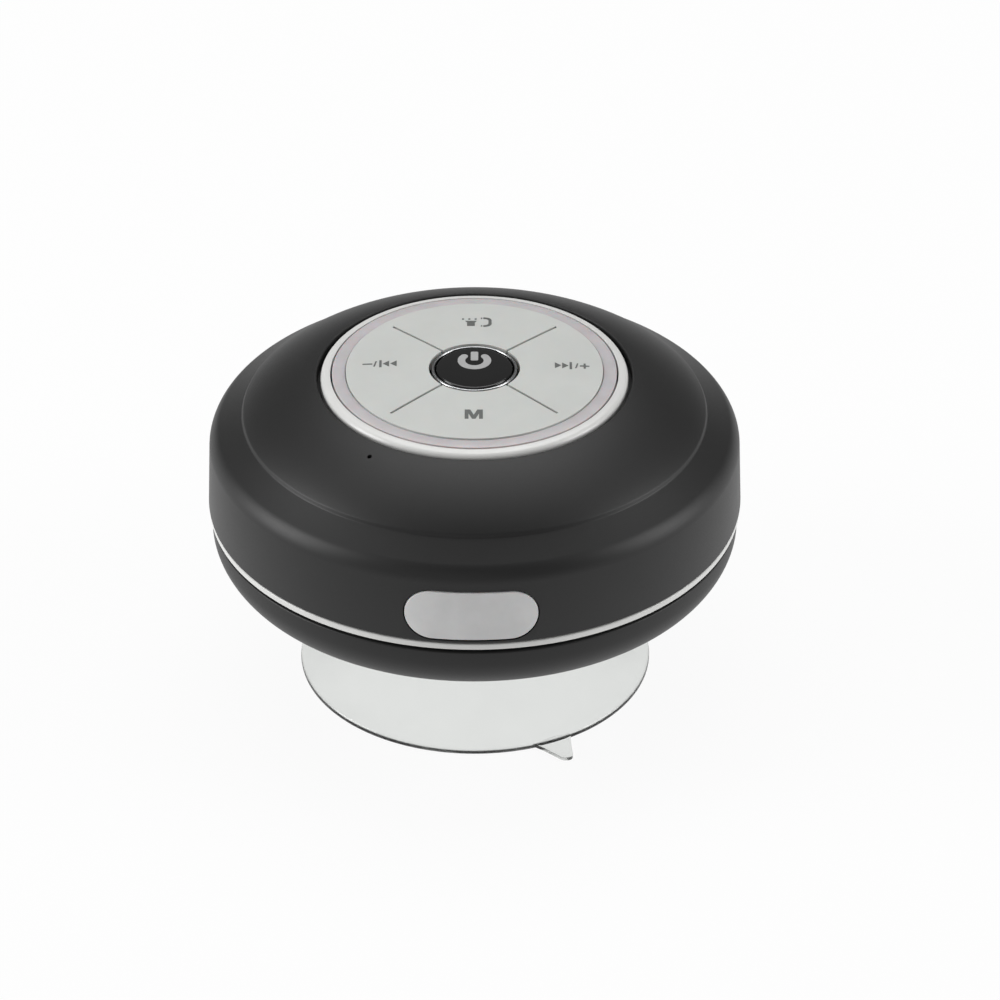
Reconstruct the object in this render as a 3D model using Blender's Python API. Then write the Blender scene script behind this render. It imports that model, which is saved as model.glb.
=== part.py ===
"""Shower speaker: a round body with a five-key panel on top, a charging port under a
soft flap, a driver that plays down into a ring-shaped sound slot, and a suction cup.

Metres, +Z up. The origin is the centre of the suction cup's rim plane, which is the
bottom centre of the whole object. The charging port faces -Y and the panel faces +Z.
"""

import math

import bmesh
import bpy
from mathutils import Matrix, Vector

# Overall sizes of the body, from the bottom up
BODY_R = 0.0465  # at the skirt's lower edge, the widest place
CUP_HEIGHT = 0.0195  # cup rim to the base, with the cup relaxed
BOTTOM_DEPTH = 0.0122  # bottom shell, base to lip
SOUND_SLOT = 0.0008  # open ring between the lip and the trim
TRIM_HEIGHT = 0.0012
SIDE_HEIGHT = 0.0113  # skirt edge to the start of the shoulder
SHOULDER_DROP = 0.0058
CREASE_STEP = 0.0006
CREASE_WIDTH = 0.0002
DOME_RISE = 0.0065
PANEL_CROWN = 0.0018  # top of the keys above the panel opening's edge

# Body outline
SIDE_DRAFT = 0.0004  # how much the side leans in over its height
SHOULDER_WIDTH = 0.00615
SHOULDER_CORNER = 0.00365  # corner that the shoulder rounds, below the shoulder's top
SHOULDER_FLAT = 0.40  # share of the shoulder that is straight before it rounds
SHOULDER_STEPS = 3
DOME_SAG = 0.00085
DOME_STEPS = 4
WALL = 0.0022
LIP_SETBACK = 0.0005  # bottom shell's lip inside the skirt
BOTTOM_WALL = 0.002
BASE_INSET = 0.0135  # flat base inside the body's radius
BOTTOM_SHOULDER = Vector((0.0008, 0.0021))  # control point inside the lip, above the base
BOTTOM_STEPS = 5

# Clearances
GAP = 0.0003  # between pieces that seat on each other
RUNNING = 0.0005  # round a piece that moves
SCREW_CLEARANCE = 0.0003
FUSE = 0.0005  # how far a boss sinks into the wall that carries it
CUTTER_REACH = 0.01  # how far a cutter runs past the body's side

# Facets of turned pieces
BODY_FACETS = 48
RING_FACETS = 36
SMALL_FACETS = 24
PIN_FACETS = 8

# Panel
PANEL_R = 0.0273
PANEL_RECESS = 0.0019
FLOOR = 0.0015
BEZEL_SETBACK = 0.0007
BEZEL_WIDTH = 0.0017
BEZEL_SIDE = 0.001  # top of the bezel's side below the panel's crown
BEZEL_CORNER = Vector((0.00035, 0.0006))  # inside the bezel, below the crown
BEZEL_DROP = 0.0002  # inner edge below the crown
LIGHT_WIDTH = 0.0021
LIGHT_DROP = 0.00015  # frosted ring below the crown
KEYPAD_DROP = 0.00055  # crown of the keypad from its middle to its border
RIM_WIDTH = 0.00185
SLOT_WIDTH = 0.0005
KEY_THICKNESS = 0.0019
KEY_CLEARANCE = 0.0005  # from the power button's ring
KEY_STEPS = 10
POWER_R = 0.0066
POWER_RING = 0.0005
POWER_EDGE = 0.0004
POWER_DROP = 0.00013  # edge and ring below the button's middle
NUB_R = 0.0012
NUB_RADIUS_OUT = 0.012  # key nubs and switches, from the axis
NUB_HOLE = 0.0007  # radial room round a nub

# Main board and what stands on it
BOARD_MARGIN = 0.00276  # board beyond the microphone's middle
BOARD = 0.0016
BOARD_DROP = 0.0036  # floor to board
SWITCH_SIDE = 0.005
SWITCH_HEIGHT = 0.0019
SWITCH_WELL = 0.0012
PLUNGER_R = 0.0011
PLUNGER_HEIGHT = 0.00088  # above the switch's case
LED_SIZE = Vector((0.002, 0.0016, 0.0008))
LED_ANGLES = (45, 135, 225, 315)
PIPE_R = 0.00085
PIPE_HOLE_R = 0.0013
MIC_OUT = 0.00294  # microphone hole outside the panel opening
MIC_ANGLE = -127.5
MIC_HOLE_R = 0.0004
MIC_SIZE = Vector((0.0026, 0.0026, 0.0009))
MIC_BOOT_R = 0.0013
MIC_BOOT_WALL = 0.0006
MIC_BOOT_HEIGHT = 0.0005
CHIP_DROP = 0.001
RADIO_CHIP = 0.007
AMPLIFIER_CHIP = 0.005
CHIP_OUT = 0.012
BOARD_SCREW_IN = 0.00515  # board screws inside the ring of lamps
BOARD_SCREW_ANGLES = (45, 225)
BOARD_SCREW_R = 0.0009
BOARD_BOSS_R = 0.0026

# Baffle, its seal and its screws
BAFFLE = 0.0024
BAFFLE_CLEARANCE = 0.0004
BASKET_AIR = 0.0004  # baffle's hole to the basket
SEAL_GROOVE = 0.0013  # depth in the baffle's edge
SEAL_HEIGHT = 0.0006
SEAL_PROUD = 0.0001  # seal beyond the baffle's edge
SCREW_R = 0.0012
SCREW_HEAD_R = 0.0023
SCREW_HEAD = 0.0012
SCREW_BEVEL = Vector((0.0004, 0.0005))
BOSS_WALL = 0.0017
BAFFLE_SCREW_INSET = 0.0075  # from the body's radius
BAFFLE_SCREW_ANGLES = (0, 120, 240)
BAFFLE_SCREW_REACH = 0.0076  # of the shank above the baffle
RIB = 0.0016
BOSS_RISE = 0.0026  # screw bosses above the start of the shoulder
SHELL_SCREW_ANGLES = (60, 180, 300)
SHELL_SCREW_SINK = 0.0012  # head below the base
BAFFLE_BOSS = 0.0025  # boss under the baffle that takes a shell screw
TRIM_WIDTH = 0.00405
TRIM_SETBACK = 0.00015

# Driver
DRIVER_R = 0.0206
FLANGE = 0.001
FLANGE_WIDTH = 0.0026
BASKET_WALL = 0.0011
BASKET_SIDE = 0.0037
BASKET_CONE = 0.0053
BASKET_PLATE = 0.0009
MAGNET_R = 0.0136
MAGNET = 0.004
YOKE = 0.0012
COIL_R = 0.0068
COIL_WALL = 0.0006
COIL_AIR = 0.0006  # from the coil to the plate round it
POLE_AIR = 0.0004
POLE_REACH = 0.00225  # pole below the basket's plate
COIL_REACH = 0.0013  # coil above the basket's plate
CONE_WALL = 0.0005
CONE_DEPTH = 0.0056
CAP_R = 0.0048  # dust cap
CAP_DIP = 0.0003
ROLL_WIDTH = 0.0036
ROLL_RIM = 0.0022  # flat of the surround on the flange
ROLL_DEPTH = 0.0013
ROLL_SKIN = 0.0005
ROLL_STEPS = 3
DRIVER_SEAL = 0.0005

# Battery
BATTERY_SIZE = Vector((0.03, 0.019, 0.007))
BATTERY_PAD = 0.0004
BATTERY_LEAD_RISE = 0.0049  # leads above the cell's underside

# Charging port and its flap
PORT_X = -0.0004
PORT_RISE = 0.0053  # port centre above the skirt's edge
FLAP_WIDTH = 0.0232
FLAP_HEIGHT = 0.0093
FLAP_CLEARANCE = 0.00025
FLAP_INSET = 0.00005  # flap's face inside the body's radius
RECESS_DEPTH = 0.0012
FLAP_STEPS = 6
SOCKET_SIZE = Vector((0.0082, 0.0056, 0.0026))
SOCKET_WALL = 0.0005
SOCKET_POCKET = 0.0045
PORT_MARGIN = 0.001  # wall opening round the socket's mouth
PLUG_SIDE = 0.0008  # port opening to the flap's plug
SOCKET_SETBACK = 0.0005
PORT_BOARD = 0.0008
PORT_BOARD_SIZE = Vector((0.013, 0.0126))
ANCHOR_IN = 0.0026  # anchor's middle from the flap's hinged end
ANCHOR_NECK = Vector((0.0012, 0.0026))
ANCHOR_HEAD = Vector((0.0032, 0.0046))
ANCHOR_HEAD_DEPTH = 0.001
CABLE_WIDTH = 0.006
CABLE_THICKNESS = 0.0003
LEAD_R = 0.0005
LEAD_IN = 0.004  # where the leads reach the board, inside its edge
LEAD_ANGLE = 50
LEAD_BEND = 0.003
DRIVER_LEAD_BEND = 0.001
CABLE_IN = 0.0028

# Suction cup
CUP_R = 0.031
CUP_EDGE = 0.0008
CUP_LIP = 0.0028  # width of the flat that meets the wall
CUP_CAVITY = 0.0105
CUP_HUB_R = 0.0095
CUP_HUB_SIDE = 0.0024  # straight side of the hub
CUP_FLARE = Vector((0.0025, 0.0024))  # foot of the hub, outside its side, above the hollow
CUP_SOCKET = 0.0032
# Points of the bell's outer and inner sides: inside the rim, above the rim's plane
BELL_OUTSIDE = ((0.01395, 0.01), (0.0078, 0.00545), (0.0025, 0.0013))
BELL_INSIDE = ((0.0084, 0.0039), (0.0144, 0.008), (0.02, 0.0102), (0.0242, 0.0105))
TAB_ANGLE = -63.4
TAB_NOSE = 0.0024  # radius of the tab's end
TAB_LIFT = 0.0001  # tab above the rim's plane
TAB_THICKNESS = 0.00065
TAB_REACH = 0.006
TAB_WIDTH = 0.008
TAB_STEPS = 8
STEM_FOOT_R = 0.0052
STEM_NECK_R = 0.0039
STEM_COLLAR_R = 0.0076
STEM_COLLAR = 0.0012
STEM_TAPER = 0.0006  # from the collar up to the neck
STEM_HEAD_R = 0.0065
STEM_HEAD = 0.0026
STEM_BEVEL = Vector((0.0016, 0.0016))
RETAINER_WALL = 0.0015
RETAINER_FLANGE = 0.0021

# Heights that follow from the sizes above
BASE_Z = CUP_HEIGHT
LIP_Z = BASE_Z + BOTTOM_DEPTH
TRIM_Z = LIP_Z + SOUND_SLOT
SKIRT_Z = TRIM_Z + TRIM_HEIGHT + GAP
SIDE_Z = SKIRT_Z + SIDE_HEIGHT
SHOULDER_Z = SIDE_Z + SHOULDER_DROP
CREASE_Z = SHOULDER_Z + CREASE_STEP
OPENING_Z = CREASE_Z + DOME_RISE
TOP_Z = OPENING_Z + PANEL_CROWN
FLOOR_Z = OPENING_Z - PANEL_RECESS
CEILING_Z = FLOOR_Z - FLOOR
BOARD_Z = CEILING_Z - BOARD_DROP
BOARD_UNDER_Z = BOARD_Z - BOARD
ON_BOARD_Z = BOARD_Z + GAP
SWITCH_TOP_Z = ON_BOARD_Z + SWITCH_HEIGHT
PLUNGER_TOP_Z = SWITCH_TOP_Z + PLUNGER_HEIGHT
NUB_Z = PLUNGER_TOP_Z + GAP
BAFFLE_Z = SKIRT_Z
BAFFLE_TOP_Z = BAFFLE_Z + BAFFLE
SEAT_Z = BAFFLE_TOP_Z + GAP
BASE_TOP_Z = BASE_Z + BOTTOM_WALL
CUP_HUB_TOP = BASE_Z - GAP - STEM_COLLAR - STEM_TAPER - RUNNING
PORT_Z = SKIRT_Z + PORT_RISE

# Radii that follow from the sizes above
SIDE_R = BODY_R - SIDE_DRAFT
CREASE_R = BODY_R - SHOULDER_WIDTH - CREASE_WIDTH
BEZEL_R = PANEL_R - BEZEL_SETBACK
LIGHT_R = BEZEL_R - BEZEL_WIDTH - GAP
KEYPAD_R = LIGHT_R - LIGHT_WIDTH - GAP
HINGE_R = KEYPAD_R - RIM_WIDTH
PIPE_OUT = LIGHT_R - LIGHT_WIDTH / 2
BOARD_SCREW_OUT = PIPE_OUT - BOARD_SCREW_IN
MIC_RADIUS_OUT = PANEL_R + MIC_OUT
BOARD_R = MIC_RADIUS_OUT + BOARD_MARGIN
BASKET_R = DRIVER_R - FLANGE_WIDTH
PLATE_HOLE_R = COIL_R + COIL_AIR
ROLL_R = DRIVER_R - ROLL_SKIN - ROLL_RIM
CONE_R = ROLL_R - ROLL_WIDTH - GAP
SCREW_HOLE_R = SCREW_R + SCREW_CLEARANCE
BOSS_R = SCREW_HOLE_R + BOSS_WALL
SCREW_SINK_R = SCREW_HEAD_R + SCREW_CLEARANCE
BAFFLE_SCREW_OUT = BODY_R - BAFFLE_SCREW_INSET
BASE_R = BODY_R - BASE_INSET
BAFFLE_R = BODY_R - WALL - BAFFLE_CLEARANCE
RECESS_R = BODY_R - RECESS_DEPTH
FLAP_R = BODY_R - FLAP_INSET
KEY_ANGLES = {"next": 0, "call": 90, "previous": 180, "mode": 270}


# ---------------------------------------------------------------- finishes

FINISHES = {
    "soft_touch_abs": ((0.045, 0.045, 0.047), 0.6, 0.0),
    "silver_abs": ((0.62, 0.62, 0.61), 0.35, 0.0),
    "frosted_polycarbonate": ((0.42, 0.41, 0.42), 0.45, 0.0),
    "grey_silicone": ((0.55, 0.56, 0.54), 0.55, 0.0),
    "gloss_black_abs": ((0.02, 0.02, 0.021), 0.12, 0.0),
    "flap_silicone": ((0.38, 0.38, 0.38), 0.6, 0.0),
    "clear_pvc": ((0.85, 0.86, 0.85), 0.1, 0.0),
    "natural_abs": ((0.1, 0.1, 0.1), 0.5, 0.0),
    "fibreglass_board": ((0.02, 0.16, 0.06), 0.4, 0.0),
    "chip_resin": ((0.02, 0.02, 0.02), 0.5, 0.0),
    "plated_steel": ((0.55, 0.55, 0.56), 0.3, 1.0),
    "ferrite": ((0.05, 0.05, 0.055), 0.6, 0.0),
    "copper_winding": ((0.7, 0.32, 0.17), 0.35, 1.0),
    "cone_paper": ((0.06, 0.06, 0.065), 0.8, 0.0),
    "seal_rubber": ((0.03, 0.03, 0.03), 0.8, 0.0),
    "battery_foil": ((0.6, 0.61, 0.62), 0.35, 1.0),
    "foam": ((0.12, 0.12, 0.12), 0.9, 0.0),
    "lead_insulation": ((0.35, 0.03, 0.03), 0.5, 0.0),
    "led_resin": ((0.8, 0.8, 0.75), 0.3, 0.0),
}


def finish_of(name):
    """The Principled material of that name, made once."""
    found = bpy.data.materials.get(name)
    if found:
        return found
    colour, roughness, metallic = FINISHES[name]
    made = bpy.data.materials.new(name)
    made.use_nodes = True
    shader = made.node_tree.nodes["Principled BSDF"]
    shader.inputs["Base Color"].default_value = (*colour, 1.0)
    shader.inputs["Roughness"].default_value = roughness
    shader.inputs["Metallic"].default_value = metallic
    made.diffuse_color = (*colour, 1.0)
    return made


# ---------------------------------------------------------------- modelling helpers


def spot(radius, degrees):
    """The (x, y) of a place at that distance and bearing from the axis."""
    angle = math.radians(degrees)
    return radius * math.cos(angle), radius * math.sin(angle)


def front_y(radius, x):
    """The y of the front of a circle of that radius, at x."""
    return -math.sqrt(radius * radius - x * x)


def bulge(start, end, sag, steps):
    """Points on the arc from start to end that stands out by sag on the left of the way."""
    start, end = Vector(start), Vector(end)
    chord = end - start
    half = chord.length / 2
    radius = (half * half + sag * sag) / (2 * sag)
    side = Vector((-chord.y, chord.x)).normalized()
    centre = (start + end) / 2 - side * (radius - sag)
    first = start - centre
    sweep = 2 * math.asin(half / radius)
    turns = (Matrix.Rotation(-sweep * i / steps, 2) for i in range(steps + 1))
    return [centre + turn @ first for turn in turns]


def rounded(start, corner, end, steps):
    """Points on the smooth curve that leaves start towards corner and arrives at end."""
    start, corner, end = Vector(start), Vector(corner), Vector(end)
    points = []
    for i in range(steps + 1):
        t = i / steps
        points.append(start * (1 - t) ** 2 + corner * 2 * t * (1 - t) + end * t * t)
    return points


def inset(points, distance):
    """The open outline moved to the right of its way by distance, each side kept parallel."""
    moved = []
    for i, point in enumerate(points):
        normals = []
        for a, b in ((i - 1, i), (i, i + 1)):
            if a >= 0 and b < len(points):
                way = Vector(points[b]) - Vector(points[a])
                normals.append(Vector((way.y, -way.x)).normalized())
        mean = sum(normals, Vector((0, 0))).normalized()
        moved.append(Vector(point) + mean * (distance / mean.dot(normals[0])))
    return moved


def below(points, height):
    """The outline from the place where it passes under height."""
    kept = [Vector(p) for p in points if p[1] < height]
    above = Vector(points[len(points) - len(kept) - 1])
    share = (above.y - height) / (above.y - kept[0].y)
    return [above.lerp(kept[0], share)] + kept


def add_turned(bm, outline, facets, centre=(0, 0)):
    """Adds the outline of (radius, height) points turned about the vertical through centre.

    An outline that starts and ends on the axis stays open; any other is closed first."""
    verts = [bm.verts.new((r, 0, z)) for r, z in outline]
    edges = [bm.edges.new(pair) for pair in zip(verts, verts[1:])]
    if outline[0][0] > 0:
        edges.append(bm.edges.new((verts[-1], verts[0])))
    before = set(bm.verts) - set(verts)
    bmesh.ops.spin(
        bm,
        geom=verts + edges,
        cent=(0, 0, 0),
        axis=(0, 0, 1),
        angle=math.tau,
        steps=facets,
        use_merge=True,
    )
    made = [v for v in bm.verts if v not in before]
    bmesh.ops.remove_doubles(bm, verts=made, dist=1e-6)
    made = [v for v in bm.verts if v not in before]
    bmesh.ops.translate(bm, verts=made, vec=(*centre, 0))


def add_pin(bm, centre, radius, low, high, facets=PIN_FACETS):
    """Adds an upright round pin."""
    outline = [(0, low), (radius, low), (radius, high), (0, high)]
    add_turned(bm, outline, facets, centre)


def add_block(bm, middle, size, bearing=0):
    """Adds a block, turned about the Z axis of the world by bearing degrees."""
    matrix = Matrix.Rotation(math.radians(bearing), 4, "Z") @ Matrix.Translation(middle)
    bmesh.ops.create_cube(bm, size=1, matrix=matrix @ Matrix.Diagonal((*size, 1)))


def add_prism(bm, outline, depth):
    """Adds the solid between the closed outline of 3-D points and its copy moved by depth."""
    face = bm.faces.new([bm.verts.new(point) for point in outline])
    bm.faces.ensure_lookup_table()
    extruded = bmesh.ops.extrude_face_region(bm, geom=[face], use_keep_orig=True)
    moved = [v for v in extruded["geom"] if isinstance(v, bmesh.types.BMVert)]
    bmesh.ops.translate(bm, verts=moved, vec=depth)


def placed(name, bm, origin=(0, 0, 0)):
    """An object of that mesh, with its own origin there and its shape where it was drawn."""
    bmesh.ops.recalc_face_normals(bm, faces=bm.faces)
    bmesh.ops.translate(bm, verts=bm.verts, vec=-Vector(origin))
    mesh = bpy.data.meshes.new(name)
    bm.to_mesh(mesh)
    bm.free()
    mesh.shade_smooth()
    mesh.set_sharp_from_angle(angle=math.radians(30))
    made = bpy.data.objects.new(name, mesh)
    made.location = origin
    bpy.context.scene.collection.objects.link(made)
    return made


def piece(name, bm, finish, origin=(0, 0, 0)):
    """A visible sub-part."""
    made = placed(name, bm, origin)
    made.data.materials.append(finish_of(finish))
    return made


def helper(name, bm):
    """A shape that is only joined to or cut from sub-parts."""
    made = placed(name, bm)
    made.hide_render = True
    made.display_type = "WIRE"
    return made


def combine(target, operation, other):
    """Adds a Boolean of the other object to the target."""
    modifier = target.modifiers.new(f"{operation.lower()} {other.name}", "BOOLEAN")
    modifier.operation = operation
    modifier.solver = "EXACT"
    modifier.object = other


def turned(name, outline, facets, finish, origin=(0, 0, 0)):
    """A sub-part turned about the body's axis."""
    bm = bmesh.new()
    add_turned(bm, outline, facets)
    return piece(name, bm, finish, origin)


def block(name, middle, size, finish):
    """A sub-part that is one block."""
    bm = bmesh.new()
    add_block(bm, middle, size)
    return piece(name, bm, finish)


def ring(inner, outer, low, high):
    """The outline of a plain ring."""
    return [(inner, low), (outer, low), (outer, high), (inner, high)]


# ---------------------------------------------------------------- shells


def body_outline():
    """The top shell's outer side, from the panel opening down to the skirt's edge."""
    shoulder = Vector((BODY_R - SHOULDER_WIDTH, SHOULDER_Z))
    corner = Vector((SIDE_R, SHOULDER_Z - SHOULDER_CORNER))
    straight = shoulder.lerp(corner, SHOULDER_FLAT)
    dome = bulge((PANEL_R, OPENING_Z), (CREASE_R, CREASE_Z), DOME_SAG, DOME_STEPS)
    turn = rounded(straight, corner, (SIDE_R, SIDE_Z), SHOULDER_STEPS)
    return [*dome, shoulder, *turn, Vector((BODY_R, SKIRT_Z))]


def flap_outline(grow):
    """The stadium outline of the port flap, seen from the front, grown all round."""
    half = FLAP_WIDTH / 2 + grow
    radius = FLAP_HEIGHT / 2 + grow
    outline = []
    for side, start in ((1, -90), (-1, 90)):
        for i in range(FLAP_STEPS + 1):
            angle = math.radians(start + 180 * i / FLAP_STEPS)
            x = PORT_X + side * (half - radius) + radius * math.cos(angle)
            outline.append((x, -BODY_R - CUTTER_REACH, PORT_Z + radius * math.sin(angle)))
    return outline


def port_solid(name, grow, inner):
    """What lies in front of a round wall of radius inner, inside the flap's outline."""
    bm = bmesh.new()
    add_prism(bm, flap_outline(grow), (0, 3 * CUTTER_REACH, 0))
    solid = helper(name, bm)
    bm = bmesh.new()
    add_pin(bm, (0, 0), inner, 0, 2 * TOP_Z, BODY_FACETS)
    combine(solid, "DIFFERENCE", helper(f"{name}_wall", bm))
    return solid


def port_opening_size():
    """Width and height of the opening in the shell's wall."""
    return SOCKET_SIZE.x + 2 * PORT_MARGIN, SOCKET_SIZE.z + 2 * PORT_MARGIN


def top_shell():
    """The soft-touch upper casing, with the panel's floor and the screw bosses inside."""
    outer = body_outline()
    inner = below(inset(outer, WALL), CEILING_Z)
    inner[-1].y = SKIRT_Z
    outline = [(0, FLOOR_Z), (PANEL_R, FLOOR_Z), *outer, *reversed(inner), (0, CEILING_Z)]
    shell = turned("top_shell", outline, BODY_FACETS, "soft_touch_abs")

    bm = bmesh.new()
    for degrees in BAFFLE_SCREW_ANGLES:
        centre = spot(BAFFLE_SCREW_OUT, degrees)
        top = SIDE_Z + BOSS_RISE
        add_pin(bm, centre, BOSS_R, SEAT_Z, top)
        reach = SIDE_R - WALL / 2 - BAFFLE_SCREW_OUT
        middle = (BAFFLE_SCREW_OUT + reach / 2, 0, (SEAT_Z + SIDE_Z) / 2 + GAP)
        size = (reach, RIB, SIDE_Z - SEAT_Z - 4 * GAP)
        rib = bmesh.new()
        add_block(rib, middle, size, degrees)
        combine(shell, "UNION", helper(f"top_shell_rib_{degrees}", rib))
    for degrees in BOARD_SCREW_ANGLES:
        centre = spot(BOARD_SCREW_OUT, degrees)
        add_pin(bm, centre, BOARD_BOSS_R, ON_BOARD_Z, CEILING_Z + FUSE)
    combine(shell, "UNION", helper("top_shell_bosses", bm))

    bm = bmesh.new()
    hole = NUB_R + NUB_HOLE
    for centre in [(0, 0)] + [spot(NUB_RADIUS_OUT, a) for a in KEY_ANGLES.values()]:
        add_pin(bm, centre, hole, CEILING_Z - FUSE, FLOOR_Z + FUSE)
    for degrees in LED_ANGLES:
        centre = spot(PIPE_OUT, degrees)
        add_pin(bm, centre, PIPE_HOLE_R, CEILING_Z - FUSE, FLOOR_Z + FUSE, PIN_FACETS)
    add_pin(bm, spot(MIC_RADIUS_OUT, MIC_ANGLE), MIC_HOLE_R, BOARD_Z, TOP_Z)
    for degrees in BAFFLE_SCREW_ANGLES:
        centre = spot(BAFFLE_SCREW_OUT, degrees)
        top = BAFFLE_TOP_Z + BAFFLE_SCREW_REACH + RUNNING
        add_pin(bm, centre, SCREW_HOLE_R, BAFFLE_Z, top)
    for degrees in BOARD_SCREW_ANGLES:
        centre = spot(BOARD_SCREW_OUT, degrees)
        top = CEILING_Z + FUSE / 2
        add_pin(bm, centre, BOARD_SCREW_R + SCREW_CLEARANCE, BOARD_UNDER_Z, top)
    combine(shell, "DIFFERENCE", helper("top_shell_holes", bm))

    bm = bmesh.new()
    width, height = port_opening_size()
    add_block(bm, (PORT_X, -BODY_R, PORT_Z), (width, 4 * WALL, height))
    neck = ANCHOR_NECK + Vector((2 * GAP, 2 * GAP))
    add_block(bm, (anchor_x(), -BODY_R, PORT_Z), (neck.x, 5 * WALL, neck.y))
    combine(shell, "DIFFERENCE", helper("top_shell_port", bm))
    recess = port_solid("top_shell_recess", FLAP_CLEARANCE, RECESS_R)
    combine(shell, "DIFFERENCE", recess)


def bottom_shell():
    """The bowl under the sound slot, with posts for its screws and a hole for the cup."""
    lip = Vector((BODY_R - LIP_SETBACK, LIP_Z))
    corner = Vector((lip.x - BOTTOM_SHOULDER.x, BASE_Z + BOTTOM_SHOULDER.y))
    outer = rounded(lip, corner, (BASE_R, BASE_Z), BOTTOM_STEPS)
    inner = inset(outer, BOTTOM_WALL)
    inner[0].y = LIP_Z
    inner[-1].y = BASE_TOP_Z
    hole = STEM_NECK_R + RUNNING
    outline = [*outer, (hole, BASE_Z), (hole, BASE_TOP_Z), *reversed(inner)]
    shell = turned("bottom_shell", outline, BODY_FACETS, "soft_touch_abs")

    posts = bmesh.new()
    holes = bmesh.new()
    post_top = BAFFLE_Z - BAFFLE_BOSS - GAP
    sink = BASE_Z + SHELL_SCREW_SINK + SCREW_HEAD + GAP
    for degrees in SHELL_SCREW_ANGLES:
        centre = spot(BASE_R, degrees)
        add_pin(posts, centre, BOSS_R, BASE_TOP_Z - FUSE, post_top)
        outline = [
            (0, BASE_Z - FUSE),
            (SCREW_SINK_R, BASE_Z - FUSE),
            (SCREW_SINK_R, sink),
            (SCREW_HOLE_R, sink),
            (SCREW_HOLE_R, post_top + FUSE),
            (0, post_top + FUSE),
        ]
        add_turned(holes, outline, PIN_FACETS, centre)
    combine(shell, "UNION", helper("bottom_shell_posts", posts))
    combine(shell, "DIFFERENCE", helper("bottom_shell_holes", holes))


def trim_ring():
    """The bright ring between the skirt and the sound slot."""
    outer = BODY_R - TRIM_SETBACK
    top = TRIM_Z + TRIM_HEIGHT
    turned("trim_ring", ring(outer - TRIM_WIDTH, outer, TRIM_Z, top), BODY_FACETS, "silver_abs")


# ---------------------------------------------------------------- panel


def crown(radius):
    """Height of the keypad's slightly domed face at that distance from the axis."""
    return TOP_Z - KEYPAD_DROP * (radius / KEYPAD_R) ** 2


def panel_bezel():
    """The silver ring that frames the panel."""
    inner = BEZEL_R - BEZEL_WIDTH
    low = FLOOR_Z + GAP
    edge = crown(BEZEL_R)
    outline = [
        (inner, low),
        (BEZEL_R, low),
        (BEZEL_R, edge - BEZEL_SIDE),
        (BEZEL_R - BEZEL_CORNER.x, edge - BEZEL_CORNER.y),
        (inner, edge - BEZEL_DROP),
    ]
    turned("panel_bezel", outline, BODY_FACETS, "silver_abs")


def light_ring():
    """The frosted ring that the lamps light, with a pipe down to each lamp."""
    inner = LIGHT_R - LIGHT_WIDTH
    top = crown(LIGHT_R) - LIGHT_DROP
    outline = ring(inner, LIGHT_R, FLOOR_Z + GAP, top)
    made = turned("light_ring", outline, RING_FACETS, "frosted_polycarbonate")
    bm = bmesh.new()
    low = ON_BOARD_Z + LED_SIZE.z + GAP
    for degrees in LED_ANGLES:
        add_pin(bm, spot(PIPE_OUT, degrees), PIPE_R, low, FLOOR_Z + 3 * GAP)
    combine(made, "UNION", helper("light_ring_pipes", bm))


def keypad_rim():
    """The fixed border of the keypad, which the keys hang from."""
    inner = HINGE_R + GAP / 2
    outline = [
        (inner, FLOOR_Z + GAP),
        (KEYPAD_R, FLOOR_Z + GAP),
        (KEYPAD_R, crown(KEYPAD_R)),
        (inner, crown(inner)),
    ]
    turned("keypad_rim", outline, RING_FACETS, "grey_silicone")


def key(name, degrees):
    """One quarter of the keypad, with the nub that presses its switch."""
    inner = POWER_R + GAP + POWER_RING + KEY_CLEARANCE
    outer = HINGE_R - GAP / 2
    low = crown(outer) - KEY_THICKNESS
    outline = []
    for radius, way in ((outer, 1), (inner, -1)):
        reach = math.pi / 4 - math.asin(SLOT_WIDTH / 2 / radius)
        for i in range(KEY_STEPS + 1):
            angle = math.radians(degrees) + way * reach * (2 * i / KEY_STEPS - 1)
            outline.append((radius * math.cos(angle), radius * math.sin(angle), low))
    bm = bmesh.new()
    add_prism(bm, outline, (0, 0, KEY_THICKNESS))
    for vert in bm.verts:
        if vert.co.z > low + KEY_THICKNESS / 2:
            vert.co.z = crown(vert.co.xy.length)
    hinge = (*spot(HINGE_R, degrees), crown(HINGE_R) - KEY_THICKNESS / 2)
    made = piece(f"key_{name}", bm, "grey_silicone", hinge)
    bm = bmesh.new()
    add_pin(bm, spot(NUB_RADIUS_OUT, degrees), NUB_R, NUB_Z, low + FUSE)
    combine(made, "UNION", helper(f"key_{name}_nub", bm))


def power_button():
    """The round gloss button in the middle and the fixed bright ring round it."""
    low = crown(HINGE_R) - KEY_THICKNESS
    outline = [
        (0, NUB_Z),
        (NUB_R, NUB_Z),
        (NUB_R, low),
        (POWER_R, low),
        (POWER_R, TOP_Z - POWER_EDGE),
        (POWER_R - POWER_EDGE, TOP_Z - POWER_DROP),
        (0, TOP_Z),
    ]
    turned("power_button", outline, SMALL_FACETS, "gloss_black_abs", (0, 0, TOP_Z))
    inner = POWER_R + GAP
    outline = ring(inner, inner + POWER_RING, FLOOR_Z + GAP, TOP_Z - POWER_DROP)
    turned("power_button_ring", outline, SMALL_FACETS, "plated_steel")


# ---------------------------------------------------------------- electronics


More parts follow.
